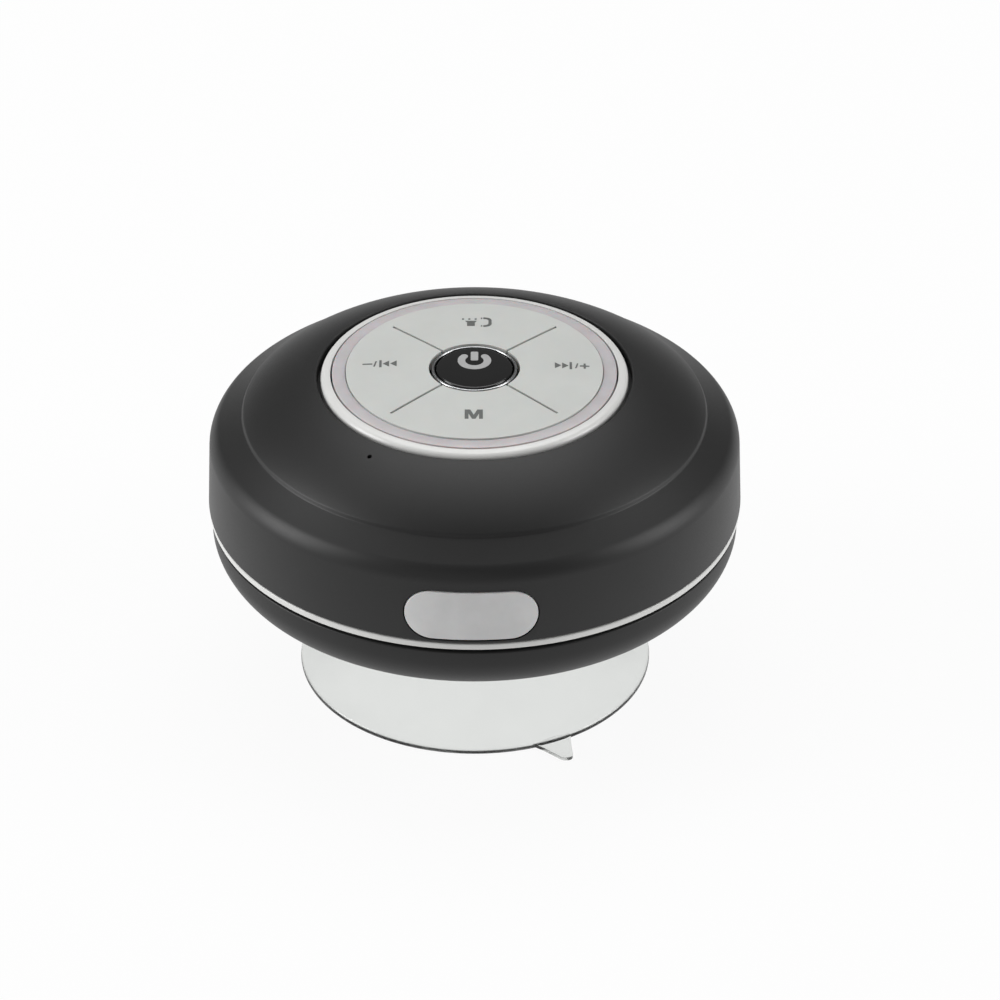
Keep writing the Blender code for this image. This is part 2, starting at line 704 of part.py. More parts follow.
def main_board():
    """The round board under the panel's floor, held by two screws from below."""
    outline = [(0, BOARD_UNDER_Z), (BOARD_R, BOARD_UNDER_Z), (BOARD_R, BOARD_Z), (0, BOARD_Z)]
    made = turned("main_board", outline, SMALL_FACETS, "fibreglass_board")
    bm = bmesh.new()
    for i, degrees in enumerate(BOARD_SCREW_ANGLES, 1):
        centre = spot(BOARD_SCREW_OUT, degrees)
        hole = BOARD_SCREW_R + SCREW_CLEARANCE
        add_pin(bm, centre, hole, BOARD_UNDER_Z - FUSE, BOARD_Z + FUSE)
        under = BOARD_UNDER_Z - GAP
        outline = [
            (0, under - SCREW_HEAD),
            (2 * BOARD_SCREW_R, under - SCREW_HEAD),
            (2 * BOARD_SCREW_R, under),
            (BOARD_SCREW_R, under),
            (BOARD_SCREW_R, CEILING_Z - SCREW_HEAD),
            (0, CEILING_Z - SCREW_HEAD),
        ]
        screw = bmesh.new()
        add_turned(screw, outline, PIN_FACETS, centre)
        piece(f"board_screw_{i}", screw, "plated_steel", (*centre, under))
    combine(made, "DIFFERENCE", helper("main_board_holes", bm))


def switch(name, centre):
    """One push switch on the board: its body with a well, and the plunger in the well."""
    bm = bmesh.new()
    middle = (*centre, ON_BOARD_Z + SWITCH_HEIGHT / 2)
    add_block(bm, middle, (SWITCH_SIDE, SWITCH_SIDE, SWITCH_HEIGHT))
    body = piece(f"switch_{name}", bm, "chip_resin")
    bm = bmesh.new()
    floor = SWITCH_TOP_Z - SWITCH_WELL
    add_pin(bm, centre, PLUNGER_R + GAP, floor, SWITCH_TOP_Z + FUSE)
    combine(body, "DIFFERENCE", helper(f"switch_{name}_well", bm))
    bm = bmesh.new()
    add_pin(bm, centre, PLUNGER_R, floor + RUNNING, PLUNGER_TOP_Z)
    piece(f"plunger_{name}", bm, "seal_rubber", (*centre, PLUNGER_TOP_Z))


def lamps():
    """Four lamps under the light ring's pipes."""
    for i, degrees in enumerate(LED_ANGLES, 1):
        middle = (*spot(PIPE_OUT, degrees), ON_BOARD_Z + LED_SIZE.z / 2)
        block(f"led_{i}", middle, LED_SIZE, "led_resin")


def microphone():
    """The microphone under its hole in the dome, with a soft ring that seals it."""
    centre = spot(MIC_RADIUS_OUT, MIC_ANGLE)
    block("microphone", (*centre, ON_BOARD_Z + MIC_SIZE.z / 2), MIC_SIZE, "plated_steel")
    low = ON_BOARD_Z + MIC_SIZE.z + GAP
    inner = MIC_BOOT_R - MIC_BOOT_WALL
    bm = bmesh.new()
    add_turned(bm, ring(inner, MIC_BOOT_R, low, low + MIC_BOOT_HEIGHT), PIN_FACETS, centre)
    piece("microphone_boot", bm, "seal_rubber")


def chips():
    """The radio and the amplifier, on the underside of the board."""
    z = BOARD_UNDER_Z - GAP - CHIP_DROP / 2
    radio = (RADIO_CHIP, RADIO_CHIP, CHIP_DROP)
    block("bluetooth_chip", (-CHIP_OUT, CHIP_OUT, z), radio, "chip_resin")
    amplifier = (AMPLIFIER_CHIP, AMPLIFIER_CHIP, CHIP_DROP)
    block("amplifier_chip", (CHIP_OUT, -CHIP_OUT, z), amplifier, "chip_resin")


def smooth_path(points, steps):
    """A smooth run of points through the given ones."""
    points = [Vector(p) for p in points]
    ends = [2 * points[0] - points[1], *points, 2 * points[-1] - points[-2]]
    run = []
    for a, b, c, d in zip(ends, ends[1:], ends[2:], ends[3:]):
        for i in range(steps):
            t = i / steps
            near = (c - a) * t + (2 * a - 5 * b + 4 * c - d) * t * t
            run.append(b + (near + (3 * b - a - 3 * c + d) * t**3) / 2)
    return [*run, points[-1]]


def lead(name, points):
    """An insulated lead along a smooth route through those points."""
    curve = bpy.data.curves.new(name, "CURVE")
    curve.dimensions = "3D"
    curve.bevel_depth = LEAD_R
    curve.bevel_resolution = 1
    curve.use_fill_caps = True
    route = smooth_path(points, 3)
    spline = curve.splines.new("POLY")
    spline.points.add(len(route) - 1)
    for point, place in zip(spline.points, route):
        point.co = (*place, 1)
    made = bpy.data.objects.new(name, curve)
    made.data.materials.append(finish_of("lead_insulation"))
    bpy.context.scene.collection.objects.link(made)


def battery():
    """The pouch cell behind the driver, on a foam pad, with its lead to the board."""
    y = BASKET_R + 2 * RUNNING + BATTERY_SIZE.y / 2
    pad_size = (BATTERY_SIZE.x, BATTERY_SIZE.y, BATTERY_PAD)
    block("battery_pad", (0, y, SEAT_Z + BATTERY_PAD / 2), pad_size, "foam")
    low = SEAT_Z + BATTERY_PAD + GAP
    block("battery", (0, y, low + BATTERY_SIZE.z / 2), BATTERY_SIZE, "battery_foil")
    start = Vector((BATTERY_SIZE.x / 2 + GAP, y, low + BATTERY_LEAD_RISE))
    end = Vector((*spot(BOARD_R - LEAD_IN, LEAD_ANGLE), BOARD_UNDER_Z - GAP))
    bend = Vector((LEAD_BEND, 0, 0))
    drop = Vector((0, 0, LEAD_BEND / 2))
    way = [start, start + bend, (start + bend + end) / 2, end - drop, end]
    lead("battery_leads", way)


def charging_port():
    """The charging socket behind the flap, on its own small board, with a flat cable."""
    width, depth, height = SOCKET_SIZE
    inner = BODY_R - WALL - SIDE_DRAFT
    mouth = front_y(inner, width / 2) + SOCKET_SETBACK
    bm = bmesh.new()
    add_block(bm, (PORT_X, mouth + depth / 2, PORT_Z), SOCKET_SIZE)
    socket = piece("usb_socket", bm, "plated_steel")
    bm = bmesh.new()
    pocket = (width - 2 * SOCKET_WALL, 2 * SOCKET_POCKET, height - 2 * SOCKET_WALL)
    add_block(bm, (PORT_X, mouth, PORT_Z), pocket)
    combine(socket, "DIFFERENCE", helper("usb_socket_pocket", bm))

    top = PORT_Z - height / 2 - GAP
    long, deep = PORT_BOARD_SIZE
    front = front_y(inner, long / 2) + 2 * RUNNING
    middle = (PORT_X, front + deep / 2, top - PORT_BOARD / 2)
    block("port_board", middle, (long, deep, PORT_BOARD), "fibreglass_board")

    start = front + deep - LEAD_BEND / 2
    end = -(BOARD_R - CABLE_IN)
    low = top + GAP
    high = BOARD_UNDER_Z - GAP
    bow = max(start, end) + LEAD_BEND / 2
    way = [
        (start, low),
        (bow, low + LEAD_BEND),
        (bow, high - LEAD_BEND),
        (end, high),
    ]
    back = [(y + CABLE_THICKNESS, z) for y, z in way]
    side = PORT_X - CABLE_WIDTH / 2
    outline = [(side, y, z) for y, z in way + back[::-1]]
    bm = bmesh.new()
    add_prism(bm, outline, (CABLE_WIDTH, 0, 0))
    piece("board_cable", bm, "lead_insulation")


# ---------------------------------------------------------------- port flap


def anchor_x():
    """The x of the flap's anchor."""
    return PORT_X - FLAP_WIDTH / 2 + ANCHOR_IN


def port_cover():
    """The soft flap over the port: a curved plate with a plug on its back."""
    hinge_x = PORT_X - FLAP_WIDTH / 2
    hinge = (hinge_x, front_y(FLAP_R, hinge_x), PORT_Z)
    bm = bmesh.new()
    add_turned(bm, ring(RECESS_R + GAP, FLAP_R, SKIRT_Z, SIDE_Z), BODY_FACETS)
    made = piece("port_cover", bm, "flap_silicone", hinge)
    bm = bmesh.new()
    add_prism(bm, flap_outline(0), (0, 3 * CUTTER_REACH, 0))
    combine(made, "INTERSECT", helper("port_cover_outline", bm))
    width, height = port_opening_size()
    mouth = front_y(BODY_R - WALL - SIDE_DRAFT, SOCKET_SIZE.x / 2)
    back = mouth + SOCKET_SETBACK - RUNNING
    front = -(RECESS_R + 2 * GAP)
    bm = bmesh.new()
    size = (width - 2 * PLUG_SIDE, back - front, height - 2 * PLUG_SIDE)
    add_block(bm, (PORT_X, (front + back) / 2, PORT_Z), size)
    combine(made, "UNION", helper("port_cover_plug", bm))


def port_cover_anchor():
    """The end of the flap's tether: a neck through the wall and a head behind it."""
    x = anchor_x()
    inner = BODY_R - WALL - SIDE_DRAFT
    front = front_y(RECESS_R - GAP, x)
    head = front_y(inner, x - ANCHOR_HEAD.x / 2) + 2 * GAP
    bm = bmesh.new()
    size = (ANCHOR_NECK.x, head + GAP - front, ANCHOR_NECK.y)
    add_block(bm, (x, (front + head + GAP) / 2, PORT_Z), size)
    made = piece("port_cover_anchor", bm, "flap_silicone")
    bm = bmesh.new()
    size = (ANCHOR_HEAD.x, ANCHOR_HEAD_DEPTH, ANCHOR_HEAD.y)
    add_block(bm, (x, head + ANCHOR_HEAD_DEPTH / 2, PORT_Z), size)
    combine(made, "UNION", helper("port_cover_anchor_head", bm))


# ---------------------------------------------------------------- baffle and driver


def speaker_baffle():
    """The plate that closes the top shell and carries the driver."""
    seal_low = BAFFLE_Z + (BAFFLE - SEAL_HEIGHT) / 2
    seal_high = seal_low + SEAL_HEIGHT
    root = BAFFLE_R - SEAL_GROOVE
    outline = [
        (BASKET_R + BASKET_AIR, BAFFLE_Z),
        (BAFFLE_R, BAFFLE_Z),
        (BAFFLE_R, seal_low - GAP),
        (root, seal_low - GAP),
        (root, seal_high + GAP),
        (BAFFLE_R, seal_high + GAP),
        (BAFFLE_R, BAFFLE_TOP_Z),
        (BASKET_R + BASKET_AIR, BAFFLE_TOP_Z),
    ]
    baffle = turned("speaker_baffle", outline, RING_FACETS, "natural_abs")
    seal = ring(root + GAP, BAFFLE_R + SEAL_PROUD, seal_low, seal_high)
    turned("main_gasket", seal, RING_FACETS, "seal_rubber")

    bosses = bmesh.new()
    holes = bmesh.new()
    for degrees in SHELL_SCREW_ANGLES:
        centre = spot(BASE_R, degrees)
        add_pin(bosses, centre, BOSS_R, BAFFLE_Z - BAFFLE_BOSS, BAFFLE_Z + FUSE)
        low = BAFFLE_Z - BAFFLE_BOSS - FUSE
        add_pin(holes, centre, SCREW_HOLE_R, low, BAFFLE_TOP_Z - FUSE)
    for degrees in BAFFLE_SCREW_ANGLES:
        centre = spot(BAFFLE_SCREW_OUT, degrees)
        add_pin(holes, centre, SCREW_HOLE_R, BAFFLE_Z - FUSE, BAFFLE_TOP_Z + FUSE)
    combine(baffle, "UNION", helper("speaker_baffle_bosses", bosses))
    combine(baffle, "DIFFERENCE", helper("speaker_baffle_holes", holes))


def screw(name, centre, seat, tip):
    """A pan-head screw driven upwards, its head under seat."""
    outline = [
        (0, seat - SCREW_HEAD),
        (SCREW_HEAD_R - SCREW_BEVEL.x, seat - SCREW_HEAD),
        (SCREW_HEAD_R, seat - SCREW_HEAD + SCREW_BEVEL.y),
        (SCREW_HEAD_R, seat),
        (SCREW_R, seat),
        (SCREW_R, tip),
        (0, tip),
    ]
    bm = bmesh.new()
    add_turned(bm, outline, PIN_FACETS, centre)
    piece(name, bm, "plated_steel", (*centre, seat))


def screws():
    """Three screws hold the baffle in the top shell and three hold the bottom shell."""
    for i, degrees in enumerate(BAFFLE_SCREW_ANGLES, 1):
        centre = spot(BAFFLE_SCREW_OUT, degrees)
        screw(f"baffle_screw_{i}", centre, BAFFLE_Z - GAP, BAFFLE_TOP_Z + BAFFLE_SCREW_REACH)
    for i, degrees in enumerate(SHELL_SCREW_ANGLES, 1):
        centre = spot(BASE_R, degrees)
        seat = BASE_Z + SHELL_SCREW_SINK + SCREW_HEAD
        screw(f"shell_screw_{i}", centre, seat, BAFFLE_TOP_Z - 2 * FUSE)


def driver():
    """The downward driver: basket, magnet, yoke, cone, roll surround and voice coil."""
    seal_low = BAFFLE_Z - GAP - DRIVER_SEAL
    hole = BASKET_R + GAP
    seal = ring(hole, DRIVER_R, seal_low, seal_low + DRIVER_SEAL)
    turned("driver_gasket", seal, RING_FACETS, "seal_rubber")

    top = seal_low - GAP
    low = top - FLANGE
    inner = BASKET_R - BASKET_WALL
    side = top + BASKET_SIDE
    neck = MAGNET_R + BASKET_WALL
    plate = side + BASKET_CONE
    outline = [
        (inner, low),
        (DRIVER_R, low),
        (DRIVER_R, top),
        (BASKET_R, top),
        (BASKET_R, side),
        (neck, plate),
        (PLATE_HOLE_R, plate),
        (PLATE_HOLE_R, plate - BASKET_PLATE),
        (neck - BASKET_WALL, plate - BASKET_PLATE),
        (inner, side),
    ]
    turned("driver_basket", outline, SMALL_FACETS, "plated_steel")
    magnet_low = plate + GAP
    magnet = ring(PLATE_HOLE_R + GAP, MAGNET_R, magnet_low, magnet_low + MAGNET)
    turned("driver_magnet", magnet, SMALL_FACETS, "ferrite")

    pole = COIL_R - COIL_WALL - POLE_AIR
    back = magnet_low + MAGNET + GAP
    pole_end = plate - POLE_REACH
    outline = [
        (0, pole_end),
        (pole, pole_end),
        (pole, back),
        (MAGNET_R, back),
        (MAGNET_R, back + YOKE),
        (0, back + YOKE),
    ]
    turned("driver_yoke", outline, SMALL_FACETS, "plated_steel")

    mouth = low - GAP - ROLL_SKIN / 2
    apex = mouth + CONE_DEPTH
    outline = [
        (0, apex - CAP_DIP - CONE_WALL),
        (CAP_R, apex - CONE_WALL),
        (COIL_R, apex - 2 * CONE_WALL),
        (CONE_R - CONE_WALL, mouth),
        (CONE_R, mouth),
        (CONE_R, mouth + CONE_WALL),
        (COIL_R, apex),
        (CAP_R, apex),
        (0, apex - CAP_DIP),
    ]
    turned("driver_cone", outline, SMALL_FACETS, "cone_paper", (0, 0, mouth))
    coil_low = apex + GAP
    coil = ring(COIL_R - COIL_WALL, COIL_R, coil_low, plate + COIL_REACH)
    turned("driver_voice_coil", coil, SMALL_FACETS, "copper_winding", (0, 0, mouth))

    start = CONE_R + GAP
    face = low - GAP - ROLL_SKIN
    back = face + ROLL_SKIN
    rim = DRIVER_R - ROLL_SKIN
    front = bulge((ROLL_R, face), (start, face), ROLL_DEPTH, ROLL_STEPS)
    hollow = bulge((ROLL_R - ROLL_SKIN, back), (start + ROLL_SKIN, back), ROLL_DEPTH, ROLL_STEPS)
    outline = [(rim, back), (rim, face), *front, (start, back), *reversed(hollow)]
    turned("driver_surround", outline, SMALL_FACETS, "seal_rubber", (0, 0, mouth))

    y = -(BASKET_R + LEAD_R + GAP)
    low = max(side, SEAT_Z + LEAD_R)
    high = BOARD_UNDER_Z - GAP
    bend = DRIVER_LEAD_BEND
    way = [
        (0, y, low),
        (bend, y - bend, low + LEAD_BEND),
        (2 * bend, y - bend, (low + high) / 2),
        (LEAD_BEND, y - bend, high - bend),
        (LEAD_BEND, y - bend, high),
    ]
    lead("driver_leads", way)


# ---------------------------------------------------------------- suction cup


def suction_cup_skirt():
    """The clear bell of the cup, its pull tab, and the socket that the stem stands in."""
    socket_floor = CUP_HUB_TOP - CUP_SOCKET
    socket = STEM_FOOT_R + GAP
    top = [
        (0, socket_floor),
        (socket, socket_floor),
        (socket, CUP_HUB_TOP),
        (CUP_HUB_R, CUP_HUB_TOP),
        (CUP_HUB_R, CUP_HUB_TOP - CUP_HUB_SIDE),
        (CUP_HUB_R + CUP_FLARE.x, CUP_CAVITY + CUP_FLARE.y),
        *[(CUP_R - inside, height) for inside, height in BELL_OUTSIDE],
        (CUP_R, CUP_EDGE),
    ]
    under = [
        (CUP_R, 0),
        (CUP_R - CUP_LIP, 0),
        *[(CUP_R - inside, height) for inside, height in BELL_INSIDE],
        (0, CUP_CAVITY),
    ]
    made = turned("suction_cup_skirt", top + under, RING_FACETS, "clear_pvc")

    root = CUP_R - CUP_LIP / 2
    tip = CUP_R + TAB_REACH
    outline = [(root, -TAB_WIDTH / 2)]
    for i in range(TAB_STEPS + 1):
        angle = math.pi * (i / TAB_STEPS - 0.5)
        x = tip - TAB_NOSE + TAB_NOSE * math.cos(angle)
        outline.append((x, TAB_NOSE * math.sin(angle)))
    outline.append((root, TAB_WIDTH / 2))
    turn = Matrix.Rotation(math.radians(TAB_ANGLE), 3, "Z")
    bm = bmesh.new()
    add_prism(bm, [turn @ Vector((x, y, TAB_LIFT)) for x, y in outline], (0, 0, TAB_THICKNESS))
    combine(made, "UNION", helper("suction_cup_tab", bm))


def suction_cup_stem():
    """The cup's stem: a foot in the bell, a neck through the base and a head above it."""
    foot = CUP_HUB_TOP - CUP_SOCKET + GAP
    collar = CUP_HUB_TOP + RUNNING
    head = BASE_TOP_Z + RUNNING
    outline = [
        (0, foot),
        (STEM_FOOT_R, foot),
        (STEM_FOOT_R, collar),
        (STEM_COLLAR_R, collar),
        (STEM_COLLAR_R, collar + STEM_COLLAR),
        (STEM_NECK_R, collar + STEM_COLLAR + STEM_TAPER),
        (STEM_NECK_R, head),
        (STEM_HEAD_R, head),
        (STEM_HEAD_R, head + STEM_HEAD - STEM_BEVEL.y),
        (STEM_HEAD_R - STEM_BEVEL.x, head + STEM_HEAD),
        (0, head + STEM_HEAD),
    ]
    turned("suction_cup_stem", outline, SMALL_FACETS, "clear_pvc")

    low = BASE_TOP_Z + GAP
    bore = STEM_HEAD_R + RUNNING
    roof = head + STEM_HEAD + RUNNING
    outer = bore + RETAINER_WALL
    outline = [
        (0, roof),
        (bore, roof),
        (bore, low),
        (outer + RETAINER_FLANGE, low),
        (outer + RETAINER_FLANGE, low + RETAINER_WALL),
        (outer, low + RETAINER_WALL),
        (outer, roof + RETAINER_WALL),
        (0, roof + RETAINER_WALL),
    ]
    turned("cup_retainer", outline, SMALL_FACETS, "natural_abs")


def main():
    """Clears the scene and models every sub-part."""
    for obj in list(bpy.data.objects):
        bpy.data.objects.remove(obj)
    top_shell()
    bottom_shell()
    trim_ring()
    panel_bezel()
    light_ring()
    keypad_rim()
    for name, degrees in KEY_ANGLES.items():
        key(name, degrees)
        switch(name, spot(NUB_RADIUS_OUT, degrees))
    power_button()
    switch("power", (0, 0))
    main_board()
    lamps()
    microphone()
    chips()
    battery()
    charging_port()
    port_cover()
    port_cover_anchor()
    speaker_baffle()
    screws()
    driver()
    suction_cup_skirt()
    suction_cup_stem()


main()
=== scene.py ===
"""Shower speaker: the fine surface of each piece that shows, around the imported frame."""

import math

import bmesh
import bpy
from bpy.props import FloatProperty, FloatVectorProperty, IntProperty, PointerProperty
from bpy.types import Operator, Panel, PropertyGroup
from mathutils import Matrix, Vector


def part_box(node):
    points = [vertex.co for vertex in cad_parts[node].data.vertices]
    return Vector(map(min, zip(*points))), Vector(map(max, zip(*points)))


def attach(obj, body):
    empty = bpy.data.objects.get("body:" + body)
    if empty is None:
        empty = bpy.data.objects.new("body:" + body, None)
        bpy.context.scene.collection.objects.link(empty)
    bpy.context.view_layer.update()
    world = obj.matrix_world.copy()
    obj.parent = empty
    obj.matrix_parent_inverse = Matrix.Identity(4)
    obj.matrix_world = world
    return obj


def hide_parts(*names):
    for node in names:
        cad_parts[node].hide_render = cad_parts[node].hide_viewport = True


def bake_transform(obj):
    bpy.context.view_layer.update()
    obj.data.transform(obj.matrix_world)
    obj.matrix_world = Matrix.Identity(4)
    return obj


bl_info = {
    "name": "Shower speaker",
    "version": (1, 0, 0),
    "blender": (4, 5, 0),
    "location": "3D Viewport > Sidebar > Speaker",
    "description": "Models a suction-cup shower speaker piece by piece",
    "category": "Object",
}

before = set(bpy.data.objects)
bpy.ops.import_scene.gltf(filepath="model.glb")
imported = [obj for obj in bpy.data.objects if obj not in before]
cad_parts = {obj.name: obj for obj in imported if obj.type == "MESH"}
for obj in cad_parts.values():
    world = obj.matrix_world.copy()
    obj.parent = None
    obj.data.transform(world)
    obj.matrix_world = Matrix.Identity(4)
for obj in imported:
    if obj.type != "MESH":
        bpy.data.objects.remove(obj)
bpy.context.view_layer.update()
MM = 0.001
FULL_TURN = 2 * math.pi


# ---------------------------------------------------------------- places from the frame

SHELL_LOW, SHELL_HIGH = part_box("top_shell")
BASE_LOW, BASE_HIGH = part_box("bottom_shell")
TRIM_LOW, TRIM_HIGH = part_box("trim_ring")
BEZEL_LOW, BEZEL_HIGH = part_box("panel_bezel")
LIGHT_LOW, LIGHT_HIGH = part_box("light_ring")
KEYPAD_LOW, KEYPAD_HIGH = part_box("keypad_rim")
BUTTON_LOW, BUTTON_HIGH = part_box("power_button")
RING_LOW, RING_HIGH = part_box("power_button_ring")
FLAP_LOW, FLAP_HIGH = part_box("port_cover")
SOCKET_LOW, SOCKET_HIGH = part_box("usb_socket")
ANCHOR_LOW, ANCHOR_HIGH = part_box("port_cover_anchor")
STEM_LOW, STEM_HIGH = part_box("suction_cup_stem")
HUB_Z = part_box("suction_cup_skirt")[1].z
ROLL_LOW, ROLL_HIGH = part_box("driver_surround")

FLAP_X = (FLAP_LOW.x + FLAP_HIGH.x) / 2
FLAP_Z = (FLAP_LOW.z + FLAP_HIGH.z) / 2
KEY_ANGLES = {"next": 0, "call": 90, "previous": 180, "mode": 270}


def middle(name):
    """The middle of a node's box."""
    low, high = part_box(name)
    return (low + high) / 2


# The hole in the dome lies a little beside the microphone under it.
MIC_HOLE = middle("microphone") + Vector((0.76, -0.78, 0)) * MM


# ---------------------------------------------------------------- settings


def linear(code, alpha=1.0):
    """An sRGB hex colour as linear red, green, blue and alpha."""
    parts = [int(code[i : i + 2], 16) / 255 for i in (0, 2, 4)]
    return (*[c / 12.92 if c <= 0.04045 else ((c + 0.055) / 1.055) ** 2.4 for c in parts], alpha)


def length(name, description, default):
    """A length setting, whose default is given in mm."""
    return FloatProperty(
        name=name,
        description=description,
        default=default * MM,
        min=0.0,
        precision=5,
        subtype="DISTANCE",
        unit="LENGTH",
    )


def colour(name, description, code):
    """A colour setting."""
    return FloatVectorProperty(
        name=name,
        description=description,
        default=linear(code),
        size=4,
        min=0.0,
        max=1.0,
        subtype="COLOR",
    )


class SpeakerSizes(PropertyGroup):
    """Sizes of the speaker's visible pieces."""

    turn_steps: IntProperty(
        name="Turn steps", description="Faces round a turned piece", default=192, min=3
    )
    round_steps: IntProperty(
        name="Rounding steps", description="Faces across a rounded edge", default=5, min=1
    )
    side_draft: length("Side draft", "How much the side leans in", 0.4)
    side_height: length("Side height", "Skirt edge to the start of the shoulder", 11.3)
    shoulder_drop: length("Shoulder drop", "Height of the shoulder", 5.8)
    shoulder_width: length("Shoulder width", "Reach of the shoulder inwards", 6.15)
    shoulder_corner: length("Shoulder corner", "Corner of the shoulder below its top", 3.65)
    crease_step: length("Crease step", "Height of the step at the dome's foot", 0.6)
    crease_width: length("Crease width", "Width of the step at the dome's foot", 0.2)
    dome_bulge: length("Dome bulge", "Bulge of the dome over its chord", 0.85)
    wall: length("Wall", "Thickness of the top shell", 2.2)
    floor: length("Floor", "Thickness of the panel's floor", 1.5)
    rim_lift: length("Rim lift", "Rounded rim of the dome over the packed shell", 0.3)
    opening_radius: length("Opening radius", "Panel opening in the shell", 27.3)
    edge: length("Edge", "Rounding of moulded edges", 0.3)
    running_gap: length("Running gap", "Room round the flap in its recess", 0.25)
    recess_depth: length("Recess depth", "Depth of the flap's recess", 1.2)
    mic_radius: length("Microphone hole", "Radius of the microphone hole", 0.4)
    boss_radius: length("Boss radius", "Screw bosses and posts", 3.2)
    boss_hole: length("Boss hole", "Holes in the screw bosses", 1.5)
    board_boss: length("Board boss", "Bosses for the board's screws", 2.6)
    board_hole: length("Board hole", "Holes in the board's bosses", 1.2)
    nub_hole: length("Nub hole", "Holes in the panel's floor for the keys' nubs", 1.9)
    nub_distance: length("Nub distance", "Keys' nubs from the axis", 12)
    nub_radius: length("Nub radius", "Keys' nubs", 1.2)
    port_room: length("Port room", "Port's opening over the socket's size", 2.0)
    trim_width: length("Trim width", "Width of the trim ring in plan", 4.05)
    trim_edge: length("Trim edge", "Rounding of the trim ring", 0.28)
    base_wall: length("Base wall", "Thickness of the bottom shell", 2.0)
    base_inset: length("Base inset", "Flat base inside the body's radius", 13.5)
    bezel_width: length("Bezel width", "Width of the silver ring", 1.7)
    light_width: length("Light ring width", "Width of the frosted ring", 2.3)
    keypad_drop: length("Keypad drop", "Crown of the keypad over its radius", 0.55)
    key_thickness: length("Key thickness", "Thickness of the keypad", 1.9)
    key_inner: length("Key inner radius", "Hole in the keypad", 7.9)
    slot_width: length("Slot width", "Slots between the keys", 0.5)
    slot_end: length("Slot end", "Outer end of the slots from the axis", 20.2)
    flex_radius: length("Flex radius", "Where a key moves fully with its hinge", 17.0)
    print_height: length("Print height", "Thickness of the printed legends", 0.03)
    cup_radius: length("Cup radius", "Radius of the suction cup", 31.0)
    cup_lip: length("Cup lip", "Width of the cup's flat rim", 0.9)
    cup_hollow: length("Cup hollow", "Depth of the cup's hollow", 10.5)
    tab_reach: length("Tab reach", "Reach of the pull tab beyond the rim", 5.6)
    tab_width: length("Tab width", "Width of the pull tab at its root", 6.4)
    tab_angle: FloatProperty(name="Tab angle", description="Pull tab's angle", default=-63.4)
    symbol_radius: length("Symbol radius", "Outer radius of the power symbol", 2.9)
    symbol_stroke: length("Symbol stroke", "Stroke of the power symbol", 1.3)
    symbol_bar: length("Symbol bar", "Length of the power symbol's bar", 2.9)
    symbol_opening: FloatProperty(
        name="Symbol opening", description="Opening of the symbol's ring in degrees", default=104
    )
    symbol_shift: length("Symbol shift", "Power symbol's middle behind the button's", 2.2)
    flap_thickness: length("Flap thickness", "Thickness of the port flap", 0.85)
    flap_edge: length("Flap edge", "Rounding of the port flap's rim", 0.55)
    flap_inset: length("Flap inset", "Flap's ends inside the packed flap's", 0.35)
    plug_width: length("Plug width", "Width of the flap's plug", 8.6)
    plug_height: length("Plug height", "Height of the flap's plug", 3.0)
    ring_inner: length("Button ring's hole", "Hole in the bright ring", 6.9)
    contact_pitch: length("Contact pitch", "Spacing of the socket's contacts", 0.9)
    shank: length("Screw shank", "Radius of the shell screws", 1.2)
    rubber: length("Roll rubber", "Thickness of the roll surround", 0.35)
    socket_wall: length("Socket wall", "Wall of the charging socket", 0.5)


class SpeakerColours(PropertyGroup):
    """Colours of the speaker's finishes."""

    shell: colour("Shell", "Soft-touch casing", "161616")
    silver: colour("Silver", "Painted bezel and trim", "cbcbc9")
    frosted: colour("Frosted ring", "Light ring", "b4b0b2")
    keypad: colour("Keypad", "Silicone keypad", "babcb9")
    print: colour("Print", "Legends on the keys", "5c5e5c")
    gloss: colour("Gloss button", "Power button", "1d1d1d")
    symbol: colour("Power symbol", "Inlay in the power button", "a3a3a3")
    flap: colour("Flap", "Port cover", "c8c8c8")
    cup: colour("Cup", "Clear suction cup", "eef0ee")


# ---------------------------------------------------------------- shaping


def spot(radius, degrees):
    """The point at that distance and angle from the axis, in plan."""
    angle = math.radians(degrees)
    return Vector((radius * math.cos(angle), radius * math.sin(angle), 0))


def bevel(bm, geom, width, steps, affect="EDGES"):
    """Rounds edges or corners by that width."""
    return bmesh.ops.bevel(
        bm,
        geom=geom,
        offset=width,
        offset_type="OFFSET",
        segments=steps,
        profile=0.5,
        affect=affect,
        clamp_overlap=True,
        material=-1,
    )


def outline(bm, points, closed=True, height=None):
    """A wire through flat points. A point's third value is the width that rounds its corner."""
    verts = []
    for point in points:
        place = (point[0], 0, point[1]) if height is None else (point[0], point[1], height)
        verts.append(bm.verts.new(place))
    for first, second in zip(verts, verts[1:]):
        bm.edges.new((first, second))
    if closed:
        bm.edges.new((verts[-1], verts[0]))
    for point, vert in zip(points, verts):
        if len(point) > 2:
            steps = point[3] if len(point) > 3 else sizes().round_steps
            bevel(bm, [vert], point[2], steps, "VERTICES")


def mesh_of(bm, name):
    """A mesh of the bmesh, which is freed."""
    mesh = bpy.data.meshes.new(name)
    bm.to_mesh(mesh)
    bm.free()
    return mesh


def thicken(bm, height):
    """Grows flat faces upwards into a slab."""
    grown = bmesh.ops.extrude_face_region(bm, geom=bm.faces[:], use_keep_orig=True)
    raised = [g for g in grown["geom"] if isinstance(g, bmesh.types.BMVert)]
    bmesh.ops.translate(bm, verts=raised, vec=(0, 0, height))


def slice_at(bm, place, across, dist=1e-8, clear_outer=False):
    """Cuts the faces along a plane, may clear those beyond it, and returns the cut's edges."""
    made = bmesh.ops.bisect_plane(
        bm,
        geom=bm.verts[:] + bm.edges[:] + bm.faces[:],
        dist=dist,
        plane_co=place,
        plane_no=across,
        clear_outer=clear_outer,
    )
    return [g for g in made["geom_cut"] if isinstance(g, bmesh.types.BMEdge)]


